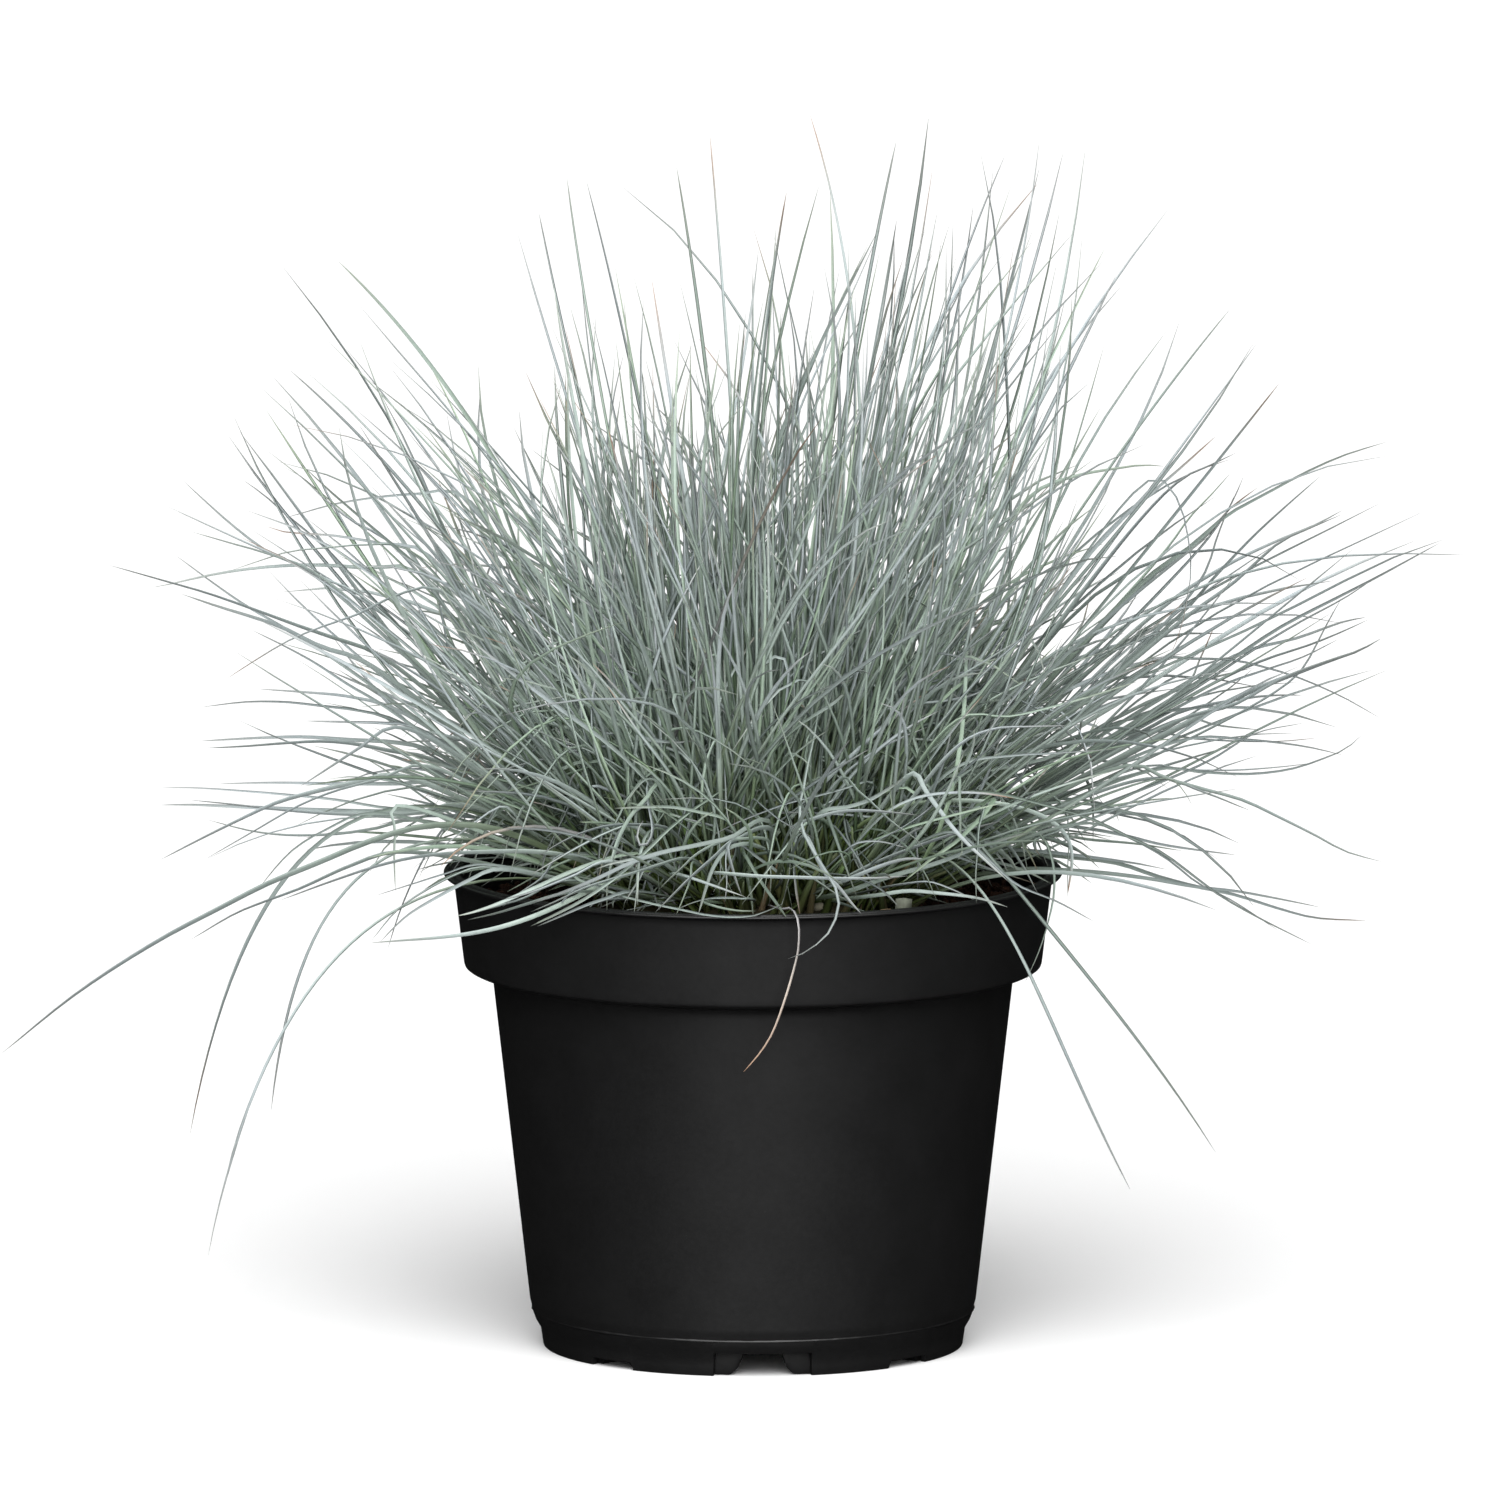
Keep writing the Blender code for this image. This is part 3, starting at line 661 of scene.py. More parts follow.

# Leaves at the clump's foot and in its wings: half a width in millimetres, then the points that
# each one passes, across and down in the photograph's frame, and in millimetres in front of the
# pot's axis. The first is the dry strand over the collar; the next three are painted as lit.
DRY_STRAND = 0
LIT_LEAVES = slice(1, 4)
TRACED_LEAVES = (
    (0.33, (784, 908, 60), (790, 907, 63), (795, 912, 66), (798, 922, 67), (798, 945, 66),
     (794, 965, 65), (784, 999, 66), (771, 1033, 67), (758, 1053, 67), (743, 1070, 68)),
    (0.56, (818, 712, 40), (813, 742, 47), (807, 768, 52), (803, 790, 55), (799, 808, 57),
     (802, 829, 59), (812, 849, 61), (824, 869, 63), (834, 885, 65), (838, 902, 66), (835, 917, 67),
     (829, 930, 68), (815, 944, 68), (800, 953, 68), (788, 957, 67)),
    (0.45, (712, 872, 57), (735, 873, 62), (760, 875, 63.5), (795, 876, 63.5),
     (830, 877, 62.5), (872, 877, 61), (907, 875, 58)),
    (0.66, (914, 773, 48), (924, 790, 51), (937, 808, 54), (952, 828, 57), (968, 845, 59),
     (980, 856, 60), (1006, 880, 60)),
    (0.55, (769, 821, 48), (762, 819, 50), (752, 823, 53), (733, 836, 56), (700, 844, 58),
     (658, 853, 60), (627, 864, 62), (602, 876, 62), (560, 893, 60), (532, 902, 56)),
    (0.6, (770, 828, 48), (756, 828, 52), (742, 836, 55), (730, 841, 56), (714, 856, 58),
     (699, 869, 60), (686, 881, 62), (672, 895, 63), (656, 911, 64.5)),
    (0.45, (768, 840, 48), (756, 837, 52), (744, 838, 55), (728, 839, 56), (709, 846, 58),
     (693, 856, 60), (683, 866, 60), (671, 877, 60), (659, 889, 59)),
    (0.5, (768, 851, 48), (759, 846, 51), (744, 843, 55), (728, 848, 56), (714, 866, 59),
     (707, 885, 61), (702, 902, 62), (699, 912, 64.5)),
    (0.4, (780, 874, 45), (770, 866, 47), (756, 856, 50), (742, 845, 54), (731, 843, 55),
     (726, 853, 57), (726, 869, 58), (727, 881, 59), (725, 901, 60)),
    (0.45, (734, 838, 54), (728, 846, 57), (733, 869, 57), (738, 885, 57), (742, 895, 57)),
    (0.55, (727, 790, 40), (706, 801, 46), (686, 815, 50), (667, 831, 54), (650, 848, 57),
     (630, 866, 60), (611, 881, 62), (588, 897, 62), (560, 912, 60), (532, 925, 57)),
    (0.55, (744, 853, 50), (754, 870, 52), (765, 887, 54), (776, 902, 58), (786, 916, 65.5)),
    (0.5, (658, 784, 44), (647, 798, 48), (634, 812, 50), (622, 832, 54), (615, 850, 57),
     (611, 869, 58), (608, 888, 60), (608, 909, 61)),
    (0.45, (650, 782, 40), (648, 798, 46), (651, 815, 50), (653, 828, 53), (650, 841, 55),
     (643, 846, 56), (638, 838, 55), (640, 826, 54), (644, 820, 53)),
    (0.45, (727, 820, 50), (700, 812, 50), (672, 807, 50), (644, 807, 50), (615, 808, 50)),
    (0.5, (619, 835, 50), (602, 824, 50), (581, 808, 50), (560, 793, 48), (532, 773, 44)),
    (0.45, (667, 827, 48), (644, 824, 50), (609, 825, 53), (581, 833, 55), (560, 843, 56),
     (539, 856, 57)),
    (0.55, (630, 825, 50), (609, 831, 53), (581, 845, 56), (560, 857, 58), (532, 874, 58)),
    (0.6, (602, 861, 60), (577, 873, 62), (560, 880, 62), (532, 891, 60), (504, 899, 56)),
    (0.5, (575, 876, 56), (588, 883, 58), (608, 890, 59), (630, 897, 60), (658, 904, 61),
     (683, 909, 62.3), (707, 914, 64), (735, 916, 65.5), (756, 914, 64.5), (768, 909, 62),
     (779, 905, 60), (784, 900, 58), (784, 895, 57)),
    (0.45, (639, 869, 60), (638, 888, 61), (635, 911, 63.5)),
    (0.35, (650, 860, 58), (639, 880, 60), (630, 894, 60), (625, 902, 60)),
    (0.4, (692, 863, 57), (691, 877, 59), (685, 894, 61), (677, 913, 64.5)),
    (0.45, (749, 898, 54), (728, 897, 57), (707, 898, 59), (689, 903, 61), (676, 909, 62)),
    (0.45, (705, 902, 57), (721, 907, 58.5), (740, 910, 59.5), (756, 910, 60)),
    (0.45, (721, 711, 30), (724, 755, 36), (726, 790, 44), (727, 811, 48), (732, 832, 52)),
    (0.3, (872, 782, 36), (839, 790, 40), (816, 796, 42), (788, 803, 45), (760, 813, 48),
     (731, 825, 50), (713, 835, 51)),
    (0.45, (752, 801, 46), (755, 799, 48), (763, 806, 50), (779, 819, 52), (795, 828, 54),
     (815, 838, 55)),
    (0.5, (686, 857, 56), (658, 864, 59), (633, 872, 61), (606, 880, 62), (585, 887, 62),
     (560, 899, 61), (532, 911, 58)),
    (0.55, (627, 891, 60), (606, 898, 62), (588, 904, 63), (560, 916, 63), (539, 925, 62)),
    (0.5, (648, 856, 58), (627, 860, 60), (612, 863, 60), (595, 869, 60)),
    (0.45, (806, 836, 52), (816, 856, 54), (826, 874, 56), (839, 887, 58), (850, 901, 60),
     (860, 912, 62.5)),
    (0.5, (993, 798, 48), (980, 817, 52), (968, 829, 54), (954, 842, 56), (928, 860, 58),
     (912, 873, 59), (902, 881, 60)),
    (0.5, (839, 880, 44), (872, 863, 46), (914, 846, 46), (956, 832, 44), (999, 821, 40)),
    (0.5, (847, 891, 48), (886, 877, 50), (935, 863, 50), (980, 846, 48), (1027, 832, 44)),
    (0.33, (795, 825, 50), (816, 817, 52), (839, 811, 53), (865, 810, 54), (893, 812, 54),
     (919, 815, 54)),
    (0.5, (823, 811, 50), (847, 807, 50), (869, 800, 50), (886, 790, 48), (907, 775, 44)),
    (0.42, (844, 777, 46), (857, 790, 50), (872, 803, 52), (886, 817, 53), (900, 828, 54),
     (914, 838, 54), (927, 852, 55)),
    (0.45, (889, 810, 52), (914, 798, 52), (942, 793, 52), (980, 793, 50), (1013, 798, 48)),
    (0.35, (879, 839, 52), (900, 828, 52), (921, 814, 52), (933, 803, 50), (945, 787, 46)),
    (0.33, (850, 846, 52), (858, 842, 53), (879, 841, 54), (905, 847, 55)),
    (0.4, (844, 880, 52), (858, 874, 54), (886, 863, 55), (907, 858, 56), (928, 859, 56)),
    (0.35, (958, 776, 50), (958, 790, 52), (959, 811, 53), (959, 832, 54), (961, 850, 55),
     (956, 860, 55)),
    (0.42, (981, 807, 50), (977, 828, 54), (976, 846, 56), (974, 874, 57), (975, 902, 57)),
    (0.5, (879, 894, 54), (907, 890, 56), (935, 892, 57), (963, 895, 57), (980, 898, 56),
     (1006, 906, 54)),
    (0.45, (903, 883, 54), (928, 881, 56), (947, 887, 56), (963, 894, 56), (973, 899, 55)),
    (0.42, (1119, 509, 10), (1148, 481, 12), (1159, 479, 14), (1177, 501, 16), (1186, 533, 18),
     (1190, 568, 19), (1186, 599, 21), (1179, 631, 23), (1167, 660, 25)),
    (0.42, (1001, 536, 0), (1037, 491, -3), (1084, 474, -6), (1113, 469, -9), (1142, 465, -12),
     (1164, 466, -15)),
    (0.5, (1145, 580, 5), (1190, 547, 6), (1225, 517, 7), (1266, 494, 8), (1311, 470, 8),
     (1343, 456, 9), (1384, 443, 10)),
    (0.42, (1183, 612, 10), (1215, 576, 15), (1253, 536, 20), (1282, 509, 25), (1317, 478, 30)),
    (0.5, (1164, 606, -5), (1231, 563, -9), (1279, 540, -12), (1317, 524, -16), (1343, 510, -20)),
    (0.45, (1183, 619, 15), (1231, 584, 16), (1279, 542, 18), (1298, 533, 19), (1338, 516, 20)),
    (0.48, (1151, 577, -5), (1183, 555, -6), (1209, 533, -8), (1228, 510, -9), (1257, 488, -10)),
    (0.45, (1193, 555, 20), (1218, 523, 23), (1231, 501, 27), (1241, 478, 30)),
    (0.42, (1196, 587, 5), (1218, 533, 5), (1226, 513, 5), (1233, 497, 5)),
    (0.45, (1164, 552, -10), (1190, 517, -15), (1212, 494, -20), (1231, 473, -25)),
    (0.48, (1139, 520, 10), (1183, 478, 12), (1209, 466, 13), (1234, 454, 15)),
    (0.55, (1097, 545, 0), (1151, 494, -3), (1183, 466, -7), (1215, 437, -10)),
    (0.55, (1078, 568, 15), (1113, 529, 18), (1151, 488, 22), (1190, 440, 25)),
    (0.58, (1183, 692, 10), (1231, 660, 11), (1279, 628, 12), (1340, 596, 13), (1371, 580, 14),
     (1437, 544, 15)),
    (0.5, (1196, 687, 15), (1247, 653, 17), (1295, 624, 18), (1343, 598, 20), (1375, 577, 22)),
    (0.48, (1199, 676, -5), (1247, 651, -10), (1298, 638, -15), (1343, 622, -20), (1367, 617, -25)),
    (0.42, (1215, 682, 0), (1263, 660, 1), (1311, 644, 2), (1343, 631, 4), (1367, 620, 5)),
    (0.5, (1215, 689, -10), (1266, 670, -17), (1304, 657, -23), (1340, 639, -30)),
    (0.58, (1209, 711, 20), (1247, 692, 23), (1295, 673, 26), (1330, 660, 29), (1356, 651, 32),
     (1378, 639, 35)),
    (0.5, (1183, 718, 25), (1231, 705, 26), (1279, 679, 28), (1311, 666, 29), (1356, 651, 30)),
    (0.45, (1151, 727, -10), (1183, 711, -15), (1247, 698, -20), (1279, 695, -25),
     (1304, 695, -30)),
    (0.42, (1292, 679, 10), (1314, 647, 11), (1327, 622, 11), (1340, 599, 12)),
    (0.45, (1161, 660, 15), (1196, 659, 16), (1231, 660, 17), (1266, 668, 18), (1298, 678, 18),
     (1343, 698, 19), (1378, 718, 20)),
    (0.42, (1186, 687, -5), (1198, 663, -5), (1215, 625, -5)),
    (0.42, (1139, 732, 0), (1190, 738, -4), (1241, 741, -8), (1282, 741, -11), (1317, 738, -15)),
    (0.45, (1183, 740, 20), (1247, 740, 22), (1279, 743, 25), (1311, 748, 28), (1340, 755, 30)),
    (0.48, (1158, 769, 25), (1199, 772, 27), (1247, 774, 28), (1289, 769, 30), (1320, 759, 32),
     (1343, 749, 33), (1359, 735, 35)),
    (0.42, (1151, 765, -5), (1183, 769, -6), (1231, 770, -8), (1279, 767, -9), (1314, 763, -10)),
    (0.4, (1167, 724, 5), (1190, 718, 3), (1215, 725, 2), (1260, 730, 0)),
    (0.42, (1183, 772, 30), (1215, 756, 35), (1253, 733, 40), (1301, 723, 45)),
    (0.5, (1132, 765, 30), (1164, 778, 32), (1202, 789, 34), (1241, 800, 36), (1279, 818, 39),
     (1311, 834, 41), (1343, 851, 43), (1378, 861, 45)),
    (0.4, (1164, 778, 35), (1180, 788, 38), (1190, 805, 40)),
    (0.4, (1151, 778, 30), (1202, 792, 35), (1247, 810, 40)),
    (0.4, (1084, 812, -20), (1119, 805, -23), (1151, 800, -27), (1180, 798, -30)),
    (0.55, (960, 792, 45), (998, 794, 46), (1040, 804, 46), (1088, 818, 47), (1126, 836, 47),
     (1158, 851, 48), (1190, 874, 48), (1215, 893, 49), (1247, 912, 49), (1308, 943, 50)),
    (0.5, (1088, 823, 44), (1126, 837, 45), (1164, 858, 46), (1196, 883, 46), (1228, 899, 47),
     (1276, 930, 48)),
    (0.5, (1040, 826, 0), (1088, 829, 0), (1126, 836, 0), (1158, 844, 0), (1196, 850, 0),
     (1236, 855, 0)),
    (0.42, (1053, 836, -20), (1094, 840, -22), (1139, 844, -23), (1183, 851, -25)),
    (0.55, (1024, 869, 15), (1062, 870, 14), (1104, 873, 14), (1151, 879, 13), (1196, 887, 12),
     (1234, 891, 11), (1279, 899, 11), (1319, 907, 10)),
    (0.5, (1021, 855, -5), (1072, 858, -6), (1119, 864, -6), (1158, 877, -7), (1196, 887, -8),
     (1234, 895, -8), (1279, 909, -9), (1314, 918, -9), (1367, 921, -10)),
    (0.48, (954, 832, 52), (986, 858, 52), (1014, 883, 53), (1056, 901, 54), (1091, 920, 54)),
    (0.48, (1029, 831, 35), (1041, 836, 36), (1051, 861, 37), (1053, 890, 38), (1048, 918, 40),
     (1038, 950, 41), (1024, 981, 42)),
    (0.4, (1037, 791, 20), (1053, 796, 21), (1065, 810, 22), (1068, 839, 24), (1067, 871, 25),
     (1067, 899, 26)),
    (0.55, (960, 743, 52), (992, 729, 52), (1024, 727, 52), (1065, 726, 52)),
    (0.5, (960, 765, 48), (1008, 756, 48), (1056, 753, 48), (1116, 749, 48)),
    (0.55, (960, 718, 44), (1008, 717, 43), (1056, 706, 42), (1094, 695, 41), (1135, 682, 40)),
    (0.55, (383, 657, 5), (335, 638, 9), (303, 627, 13), (246, 606, 18), (208, 593, 22),
     (169, 582, 26), (112, 566, 30)),
    (0.42, (335, 660, 0), (284, 628, -5), (246, 606, -10), (214, 584, -15), (176, 556, -20)),
    (0.45, (415, 571, -10), (367, 568, -11), (319, 565, -11), (278, 566, -12), (239, 570, -13),
     (204, 576, -14), (169, 584, -14), (153, 587, -15)),
    (0.5, (367, 599, 10), (322, 577, 13), (297, 564, 16), (259, 548, 19), (217, 529, 22),
     (171, 508, 25)),
    (0.55, (351, 606, -5), (303, 568, -8), (268, 552, -11), (233, 526, -14), (208, 504, -17),
     (183, 481, -20)),
    (0.42, (322, 577, 15), (271, 555, 20), (233, 544, 25), (195, 533, 30)),
    (0.48, (367, 593, -5), (322, 545, -8), (284, 513, -10), (265, 496, -12), (243, 480, -15)),
    (0.5, (393, 545, 10), (351, 520, 12), (319, 494, 15), (303, 478, 18), (287, 469, 20)),
    (0.48, (424, 552, 0), (383, 544, 0), (335, 536, 0), (284, 532, 0), (268, 527, 0)),
    (0.45, (463, 496, -20), (415, 494, -22), (377, 497, -24), (332, 504, -26), (303, 512, -28),
     (284, 517, -30)),
    (0.45, (409, 550, 15), (367, 545, 16), (329, 548, 17), (291, 552, 18), (265, 560, 19),
     (233, 571, 20)),
    (0.48, (440, 590, 30), (393, 598, 32), (361, 614, 35), (322, 628, 38), (291, 641, 40),
     (259, 660, 42), (230, 679, 45)),
    (0.5, (367, 663, 20), (322, 647, 23), (284, 628, 26), (259, 619, 29), (220, 607, 32),
     (185, 595, 35)),
    (0.48, (383, 705, 25), (351, 686, 29), (316, 663, 32), (287, 647, 36), (255, 631, 40)),
    (0.45, (399, 722, 0), (361, 711, 1), (322, 706, 2), (284, 702, 3), (246, 702, 4),
     (203, 707, 5)),
    (0.45, (399, 711, -10), (351, 697, -13), (303, 692, -17), (259, 689, -20)),
    (0.5, (431, 751, -5), (399, 743, -6), (351, 740, -7), (303, 737, -8), (259, 738, -9),
     (200, 741, -10)),
    (0.48, (431, 759, 10), (393, 751, 11), (351, 743, 12), (322, 741, 12), (284, 743, 13),
     (246, 746, 14), (208, 748, 15)),
    (0.5, (415, 727, 20), (383, 723, 22), (351, 722, 23), (306, 721, 25)),
    (0.42, (399, 727, 35), (361, 748, 38), (332, 767, 42), (303, 786, 45)),
    (0.5, (431, 812, -10), (383, 808, -11), (335, 800, -12), (287, 795, -12), (239, 791, -13),
     (192, 788, -14), (158, 788, -15)),
    (0.52, (447, 783, -20), (399, 784, -21), (335, 784, -22), (271, 783, -24), (217, 784, -25)),
    (0.6, (479, 807, 10), (431, 812, 9), (367, 812, 8), (303, 810, 8), (239, 807, 7), (192, 805, 6),
     (161, 805, 5)),
    (0.55, (463, 804, 18), (415, 813, 18), (351, 814, 18), (287, 810, 18), (233, 804, 18),
     (192, 800, 18)),
    (0.48, (399, 775, 20), (361, 781, 22), (316, 791, 23), (278, 802, 25), (239, 820, 27),
     (201, 839, 28), (163, 859, 30)),
    (0.45, (424, 765, 30), (383, 778, 32), (335, 791, 34), (297, 807, 36), (259, 829, 38),
     (209, 858, 40)),
    (0.42, (415, 820, 0), (377, 828, 0), (335, 834, 0), (287, 835, 0), (252, 831, 0),
     (208, 820, 0)),
    (0.42, (373, 813, 35), (329, 829, 38), (297, 848, 40), (278, 867, 42), (262, 887, 45)),
    (0.6, (495, 828, 38), (447, 824, 40), (412, 828, 43), (367, 842, 45), (322, 861, 48),
     (271, 882, 50), (224, 906, 53), (160, 940, 55), (80, 992, 58), (7, 1051, 60)),
    (0.48, (399, 851, 45), (354, 864, 47), (303, 887, 49), (271, 899, 51), (239, 912, 53),
     (195, 938, 55)),
    (0.42, (394, 807, 40), (397, 829, 40), (396, 851, 40), (397, 890, 40)),
    (0.42, (479, 864, 46), (447, 873, 46), (415, 883, 46), (377, 895, 46)),
    (0.55, (558, 853, 48), (479, 851, 48), (424, 855, 47), (383, 864, 47), (335, 880, 46),
     (284, 899, 46)),
    (0.5, (482, 866, 47), (463, 871, 48), (431, 887, 48), (399, 909, 49), (373, 940, 50)),
    (0.48, (495, 869, 48), (476, 877, 49), (440, 896, 50), (409, 915, 51), (383, 940, 52)),
    (0.5, (560, 880, 54), (527, 896, 51), (495, 906, 47), (460, 915, 44)),
    (0.48, (578, 890, 56), (560, 893, 54), (527, 903, 51), (498, 912, 48), (469, 919, 46)),
    (0.42, (578, 887, 58), (560, 904, 56), (539, 915, 55), (522, 922, 53)),
    (0.45, (560, 855, 50), (543, 877, 50), (520, 893, 49), (504, 906, 49)),
)


def paths_from_angles(root, lean, heading, length, bend, sweep, wave, stations=STATIONS):
    """Centre lines of many leaves at once.

    A leaf's direction leans from the vertical by its lean plus its bend times the share of its
    length to the power 1.5, and turns about the vertical by its sweep in the same way. A slow wave
    is added to both. Its path is the running sum of that direction.
    """
    t = np.linspace(0, 1, stations)
    along = t ** 1.5
    swing = np.sin(2 * PI * (wave[:, 2:] * t + wave[:, 1:2])) - np.sin(2 * PI * wave[:, 1:2])
    leans = lean[:, None] + bend[:, None] * along + wave[:, :1] * swing
    turns = heading[:, None] + sweep[:, None] * along + wave[:, :1] * swing * 0.7
    way = np.stack([np.sin(leans) * np.cos(turns), np.sin(leans) * np.sin(turns), np.cos(leans)], -1)
    middle = (way[:, 1:] + way[:, :-1]) / 2
    steps = middle * (length / (stations - 1))[:, None, None]
    return root[:, None] + np.concatenate([np.zeros_like(steps[:, :1]), np.cumsum(steps, 1)], 1)


def drawn_curves(points, stations=STATIONS):
    """Bezier curves of any degree: the sum of each control point times its Bernstein weight.

    The weight of point k of n is the number of ways to choose k from n, times t to the power k,
    times one minus t to the power n minus k. The points are an array of leaf, control point, xyz.
    """
    degree = points.shape[1] - 1
    t = np.linspace(0, 1, stations)[:, None]
    k = np.arange(degree + 1)
    ways = np.array([math.comb(degree, i) for i in k])
    return np.einsum("sk,nkx->nsx", ways * t ** k * (1 - t) ** (degree - k), points)


def from_pixels(points):
    """Points given across and down in the photograph's frame, and in millimetres to the front."""
    x = (points[..., 0] - AXIS_PIXEL) * PIXEL
    y = -points[..., 2] * MM
    z = (FOOT_CENTRE_PIXEL - points[..., 1]) * PIXEL - y * math.sin(CAMERA_RISE)
    return np.stack([x, y, z / math.cos(CAMERA_RISE)], axis=-1)


def traced_path(row):
    """A smooth curve from the crown through the points of one row, its stations evenly spaced.

    Between two points it is the cubic that fits both and their slopes. A point's slope comes from
    its neighbours, and the running number along the row grows with the root of each distance. The
    curve starts at two fifths of the first point's place on the ground, at most root_reach out.
    """
    points = from_pixels(np.array(row, dtype=float))
    root_reach, root_height = 23 * MM, 97 * MM
    root = (*np.clip(0.4 * points[0, :2], -root_reach, root_reach), root_height)
    points = np.concatenate([[root], points])
    run = np.concatenate([[0], np.cumsum(np.sqrt(np.linalg.norm(np.diff(points, axis=0), axis=1)))])
    slope = np.gradient(points, run, axis=0)
    fine = np.linspace(0, run[-1], 240)
    k = np.clip(np.searchsorted(run, fine, side="right") - 1, 0, len(run) - 2)
    gap = (run[k + 1] - run[k])[:, None]
    s = (fine - run[k])[:, None] / gap
    curve = (1 + 2 * s) * (1 - s) ** 2 * points[k] + s * (1 - s) ** 2 * gap * slope[k]
    curve += s * s * (3 - 2 * s) * points[k + 1] - s * s * (1 - s) * gap * slope[k + 1]
    length = np.concatenate([[0], np.cumsum(np.linalg.norm(np.diff(curve, axis=0), axis=1))])
    even = np.linspace(0, length[-1], PLACED_STATIONS)
    return np.stack([np.interp(even, length, c) for c in curve.T], axis=-1)


def hand_placed_paths():
    """Centre lines of the leaves placed one by one, the long ones as parabolas from the crown.

    A long leaf's root lies under its arch's point, at 0.32 of its way out, at most root_reach.
    """
    root_reach, root_height = 25 * MM, 96 * MM
    arch, tip = np.array(LONG_LEAVES, dtype=float).transpose(1, 0, 2) * MM
    out = np.hypot(arch[:, 0], arch[:, 1])[:, None]
    flat = arch[:, :2] * np.minimum(0.32, root_reach / np.maximum(out, 1e-6))
    root = np.concatenate([flat, np.full((len(arch), 1), root_height)], axis=1)
    curled = [drawn_curves(np.array([leaf], dtype=float) * MM, PLACED_STATIONS)
              for leaf in CURLED_LEAVES]
    long = drawn_curves(np.stack([root, arch, tip], axis=1), PLACED_STATIONS)
    return np.concatenate(curled + [long])


def round_point(angle, radius, height):
    """Points from arrays of angle, radius and height, the last two in millimetres."""
    return np.stack([radius * np.cos(angle), radius * np.sin(angle), height], axis=-1) * MM


def fringe_paths(count):
    """Short leaves that arch from the crown and come down over the peat, some over the rim.

    Each is a cubic whose two handles stand over the thirds of its way, at the height that carries
    its middle up to the peak: the peak less an eighth of root and tip, divided by three quarters.
    """
    angle = rng.uniform(0, 2 * PI, count)
    root = round_point(angle, rng.uniform(8, 31, count), np.full(count, LEAF_FOOT))
    radius = rng.uniform(38, 74, count)
    height = 97.0 + 5 * rng.random(count) ** 2 + 5.0 * (radius > 52)
    tip = round_point(angle + rng.normal(0, 0.6, count), radius, height)
    peak = np.maximum(root[:, 2], tip[:, 2]) + (2 + 26 * rng.random(count) ** 1.5) * MM
    lift = (peak - (root[:, 2] + tip[:, 2]) / 8) / 0.75
    near, far = root * 2 / 3 + tip / 3, root / 3 + tip * 2 / 3
    near[:, :2] += rng.normal(0, 7, (count, 2)) * MM
    far[:, :2] += rng.normal(0, 7, (count, 2)) * MM
    near[:, 2] = far[:, 2] = lift
    return drawn_curves(np.stack([root, near, far, tip], axis=1))


def wandering_paths(count):
    """Curled leaves in the outer part of the clump: cubics whose handles and tip lie at random."""
    angle = rng.uniform(0, 2 * PI, count)
    points = [round_point(angle, rng.uniform(8, 30, count), np.full(count, LEAF_FOOT))]
    for low, high in ((104, 160), (110, 180), (101, 160)):
        turn = angle + rng.normal(0, 0.5, count)
        points.append(round_point(turn, rng.uniform(20, 82, count), rng.uniform(low, high, count)))
    return drawn_curves(np.stack(points, axis=1))


def swept(paths, width, thickness, facing, twist):
    """A four-sided folded section carried along each path.

    The section's cross direction starts square to the path and to the leaf's facing, and turns by
    the twist towards the tip. Its half width follows the width array, leaf by leaf and station by
    station. The result is one point for each leaf, station and corner.
    """
    ahead = np.gradient(paths, axis=1)
    ahead /= np.linalg.norm(ahead, axis=-1, keepdims=True)
    side = np.cross(ahead, facing[:, None])
    side /= np.maximum(np.linalg.norm(side, axis=-1, keepdims=True), 1e-9)
    up = np.cross(side, ahead)
    turn = twist[:, None] * np.linspace(0, 1, paths.shape[1])
    cos, sin = np.cos(turn)[..., None], np.sin(turn)[..., None]
    side, up = side * cos + up * sin, up * cos - side * sin
    across = SECTION[:, :1] * side[:, :, None] + thickness * SECTION[:, 1:] * up[:, :, None]
    return paths[:, :, None] + across * width[:, :, None, None]


def swept_faces(leaves, stations):
    """Quads along each leaf's four sides, with one quad closing each end."""
    corners = len(SECTION)
    index = np.arange(leaves * stations * corners).reshape(leaves, stations, corners)
    right = np.roll(index, -1, axis=2)
    sides = np.stack([index[:, :-1], index[:, 1:], right[:, 1:], right[:, :-1]], -1).reshape(-1, 4)
    return [np.concatenate([sides, index[:, 0], index[:, -1, ::-1]])]


def leaf_width(half, stations, even):
    """Half widths along a leaf: nearly even for the given share, then a taper to a fine point."""
    t = np.linspace(0, 1, stations)
    taper = np.sqrt(np.clip(1 - ((t - even) / (1 - even)).clip(0) ** 1.7, 0, 1))
    return half[:, None] * np.maximum(taper * (0.88 + 0.12 * smooth_step(t / 0.3)), 0.05)


def grow_tillers(count):
    """Roots of the shoots on the crown, with their own heading and lean, and their share outwards.

    Shoot after shoot turns by the golden angle, and moves out with the root of its number. The
    roots lie on a mound that is a quarter ellipse in section, sunk a little into the peat.
    """
    sunk, rise, aside = 1.5 * MM, 5.0 * MM, 1.5 * MM
    share = np.sqrt((np.arange(count) + 0.5) / count)
    radius = CROWN_EDGE * share
    angle = np.arange(count) * PI * (3 - math.sqrt(5)) + rng.normal(0, 0.2, count)
    heading = angle + rng.normal(0, 0.55, count)
    lean = np.radians(13 + 30 * share ** 1.6 + rng.normal(0, 12.5, count))
    height = SOIL_LEVEL - sunk + rise * np.sqrt(1 - share ** 2)
    root = np.stack([radius * np.cos(angle) + aside, radius * np.sin(angle), height], -1)
    return root, heading, np.abs(lean), share


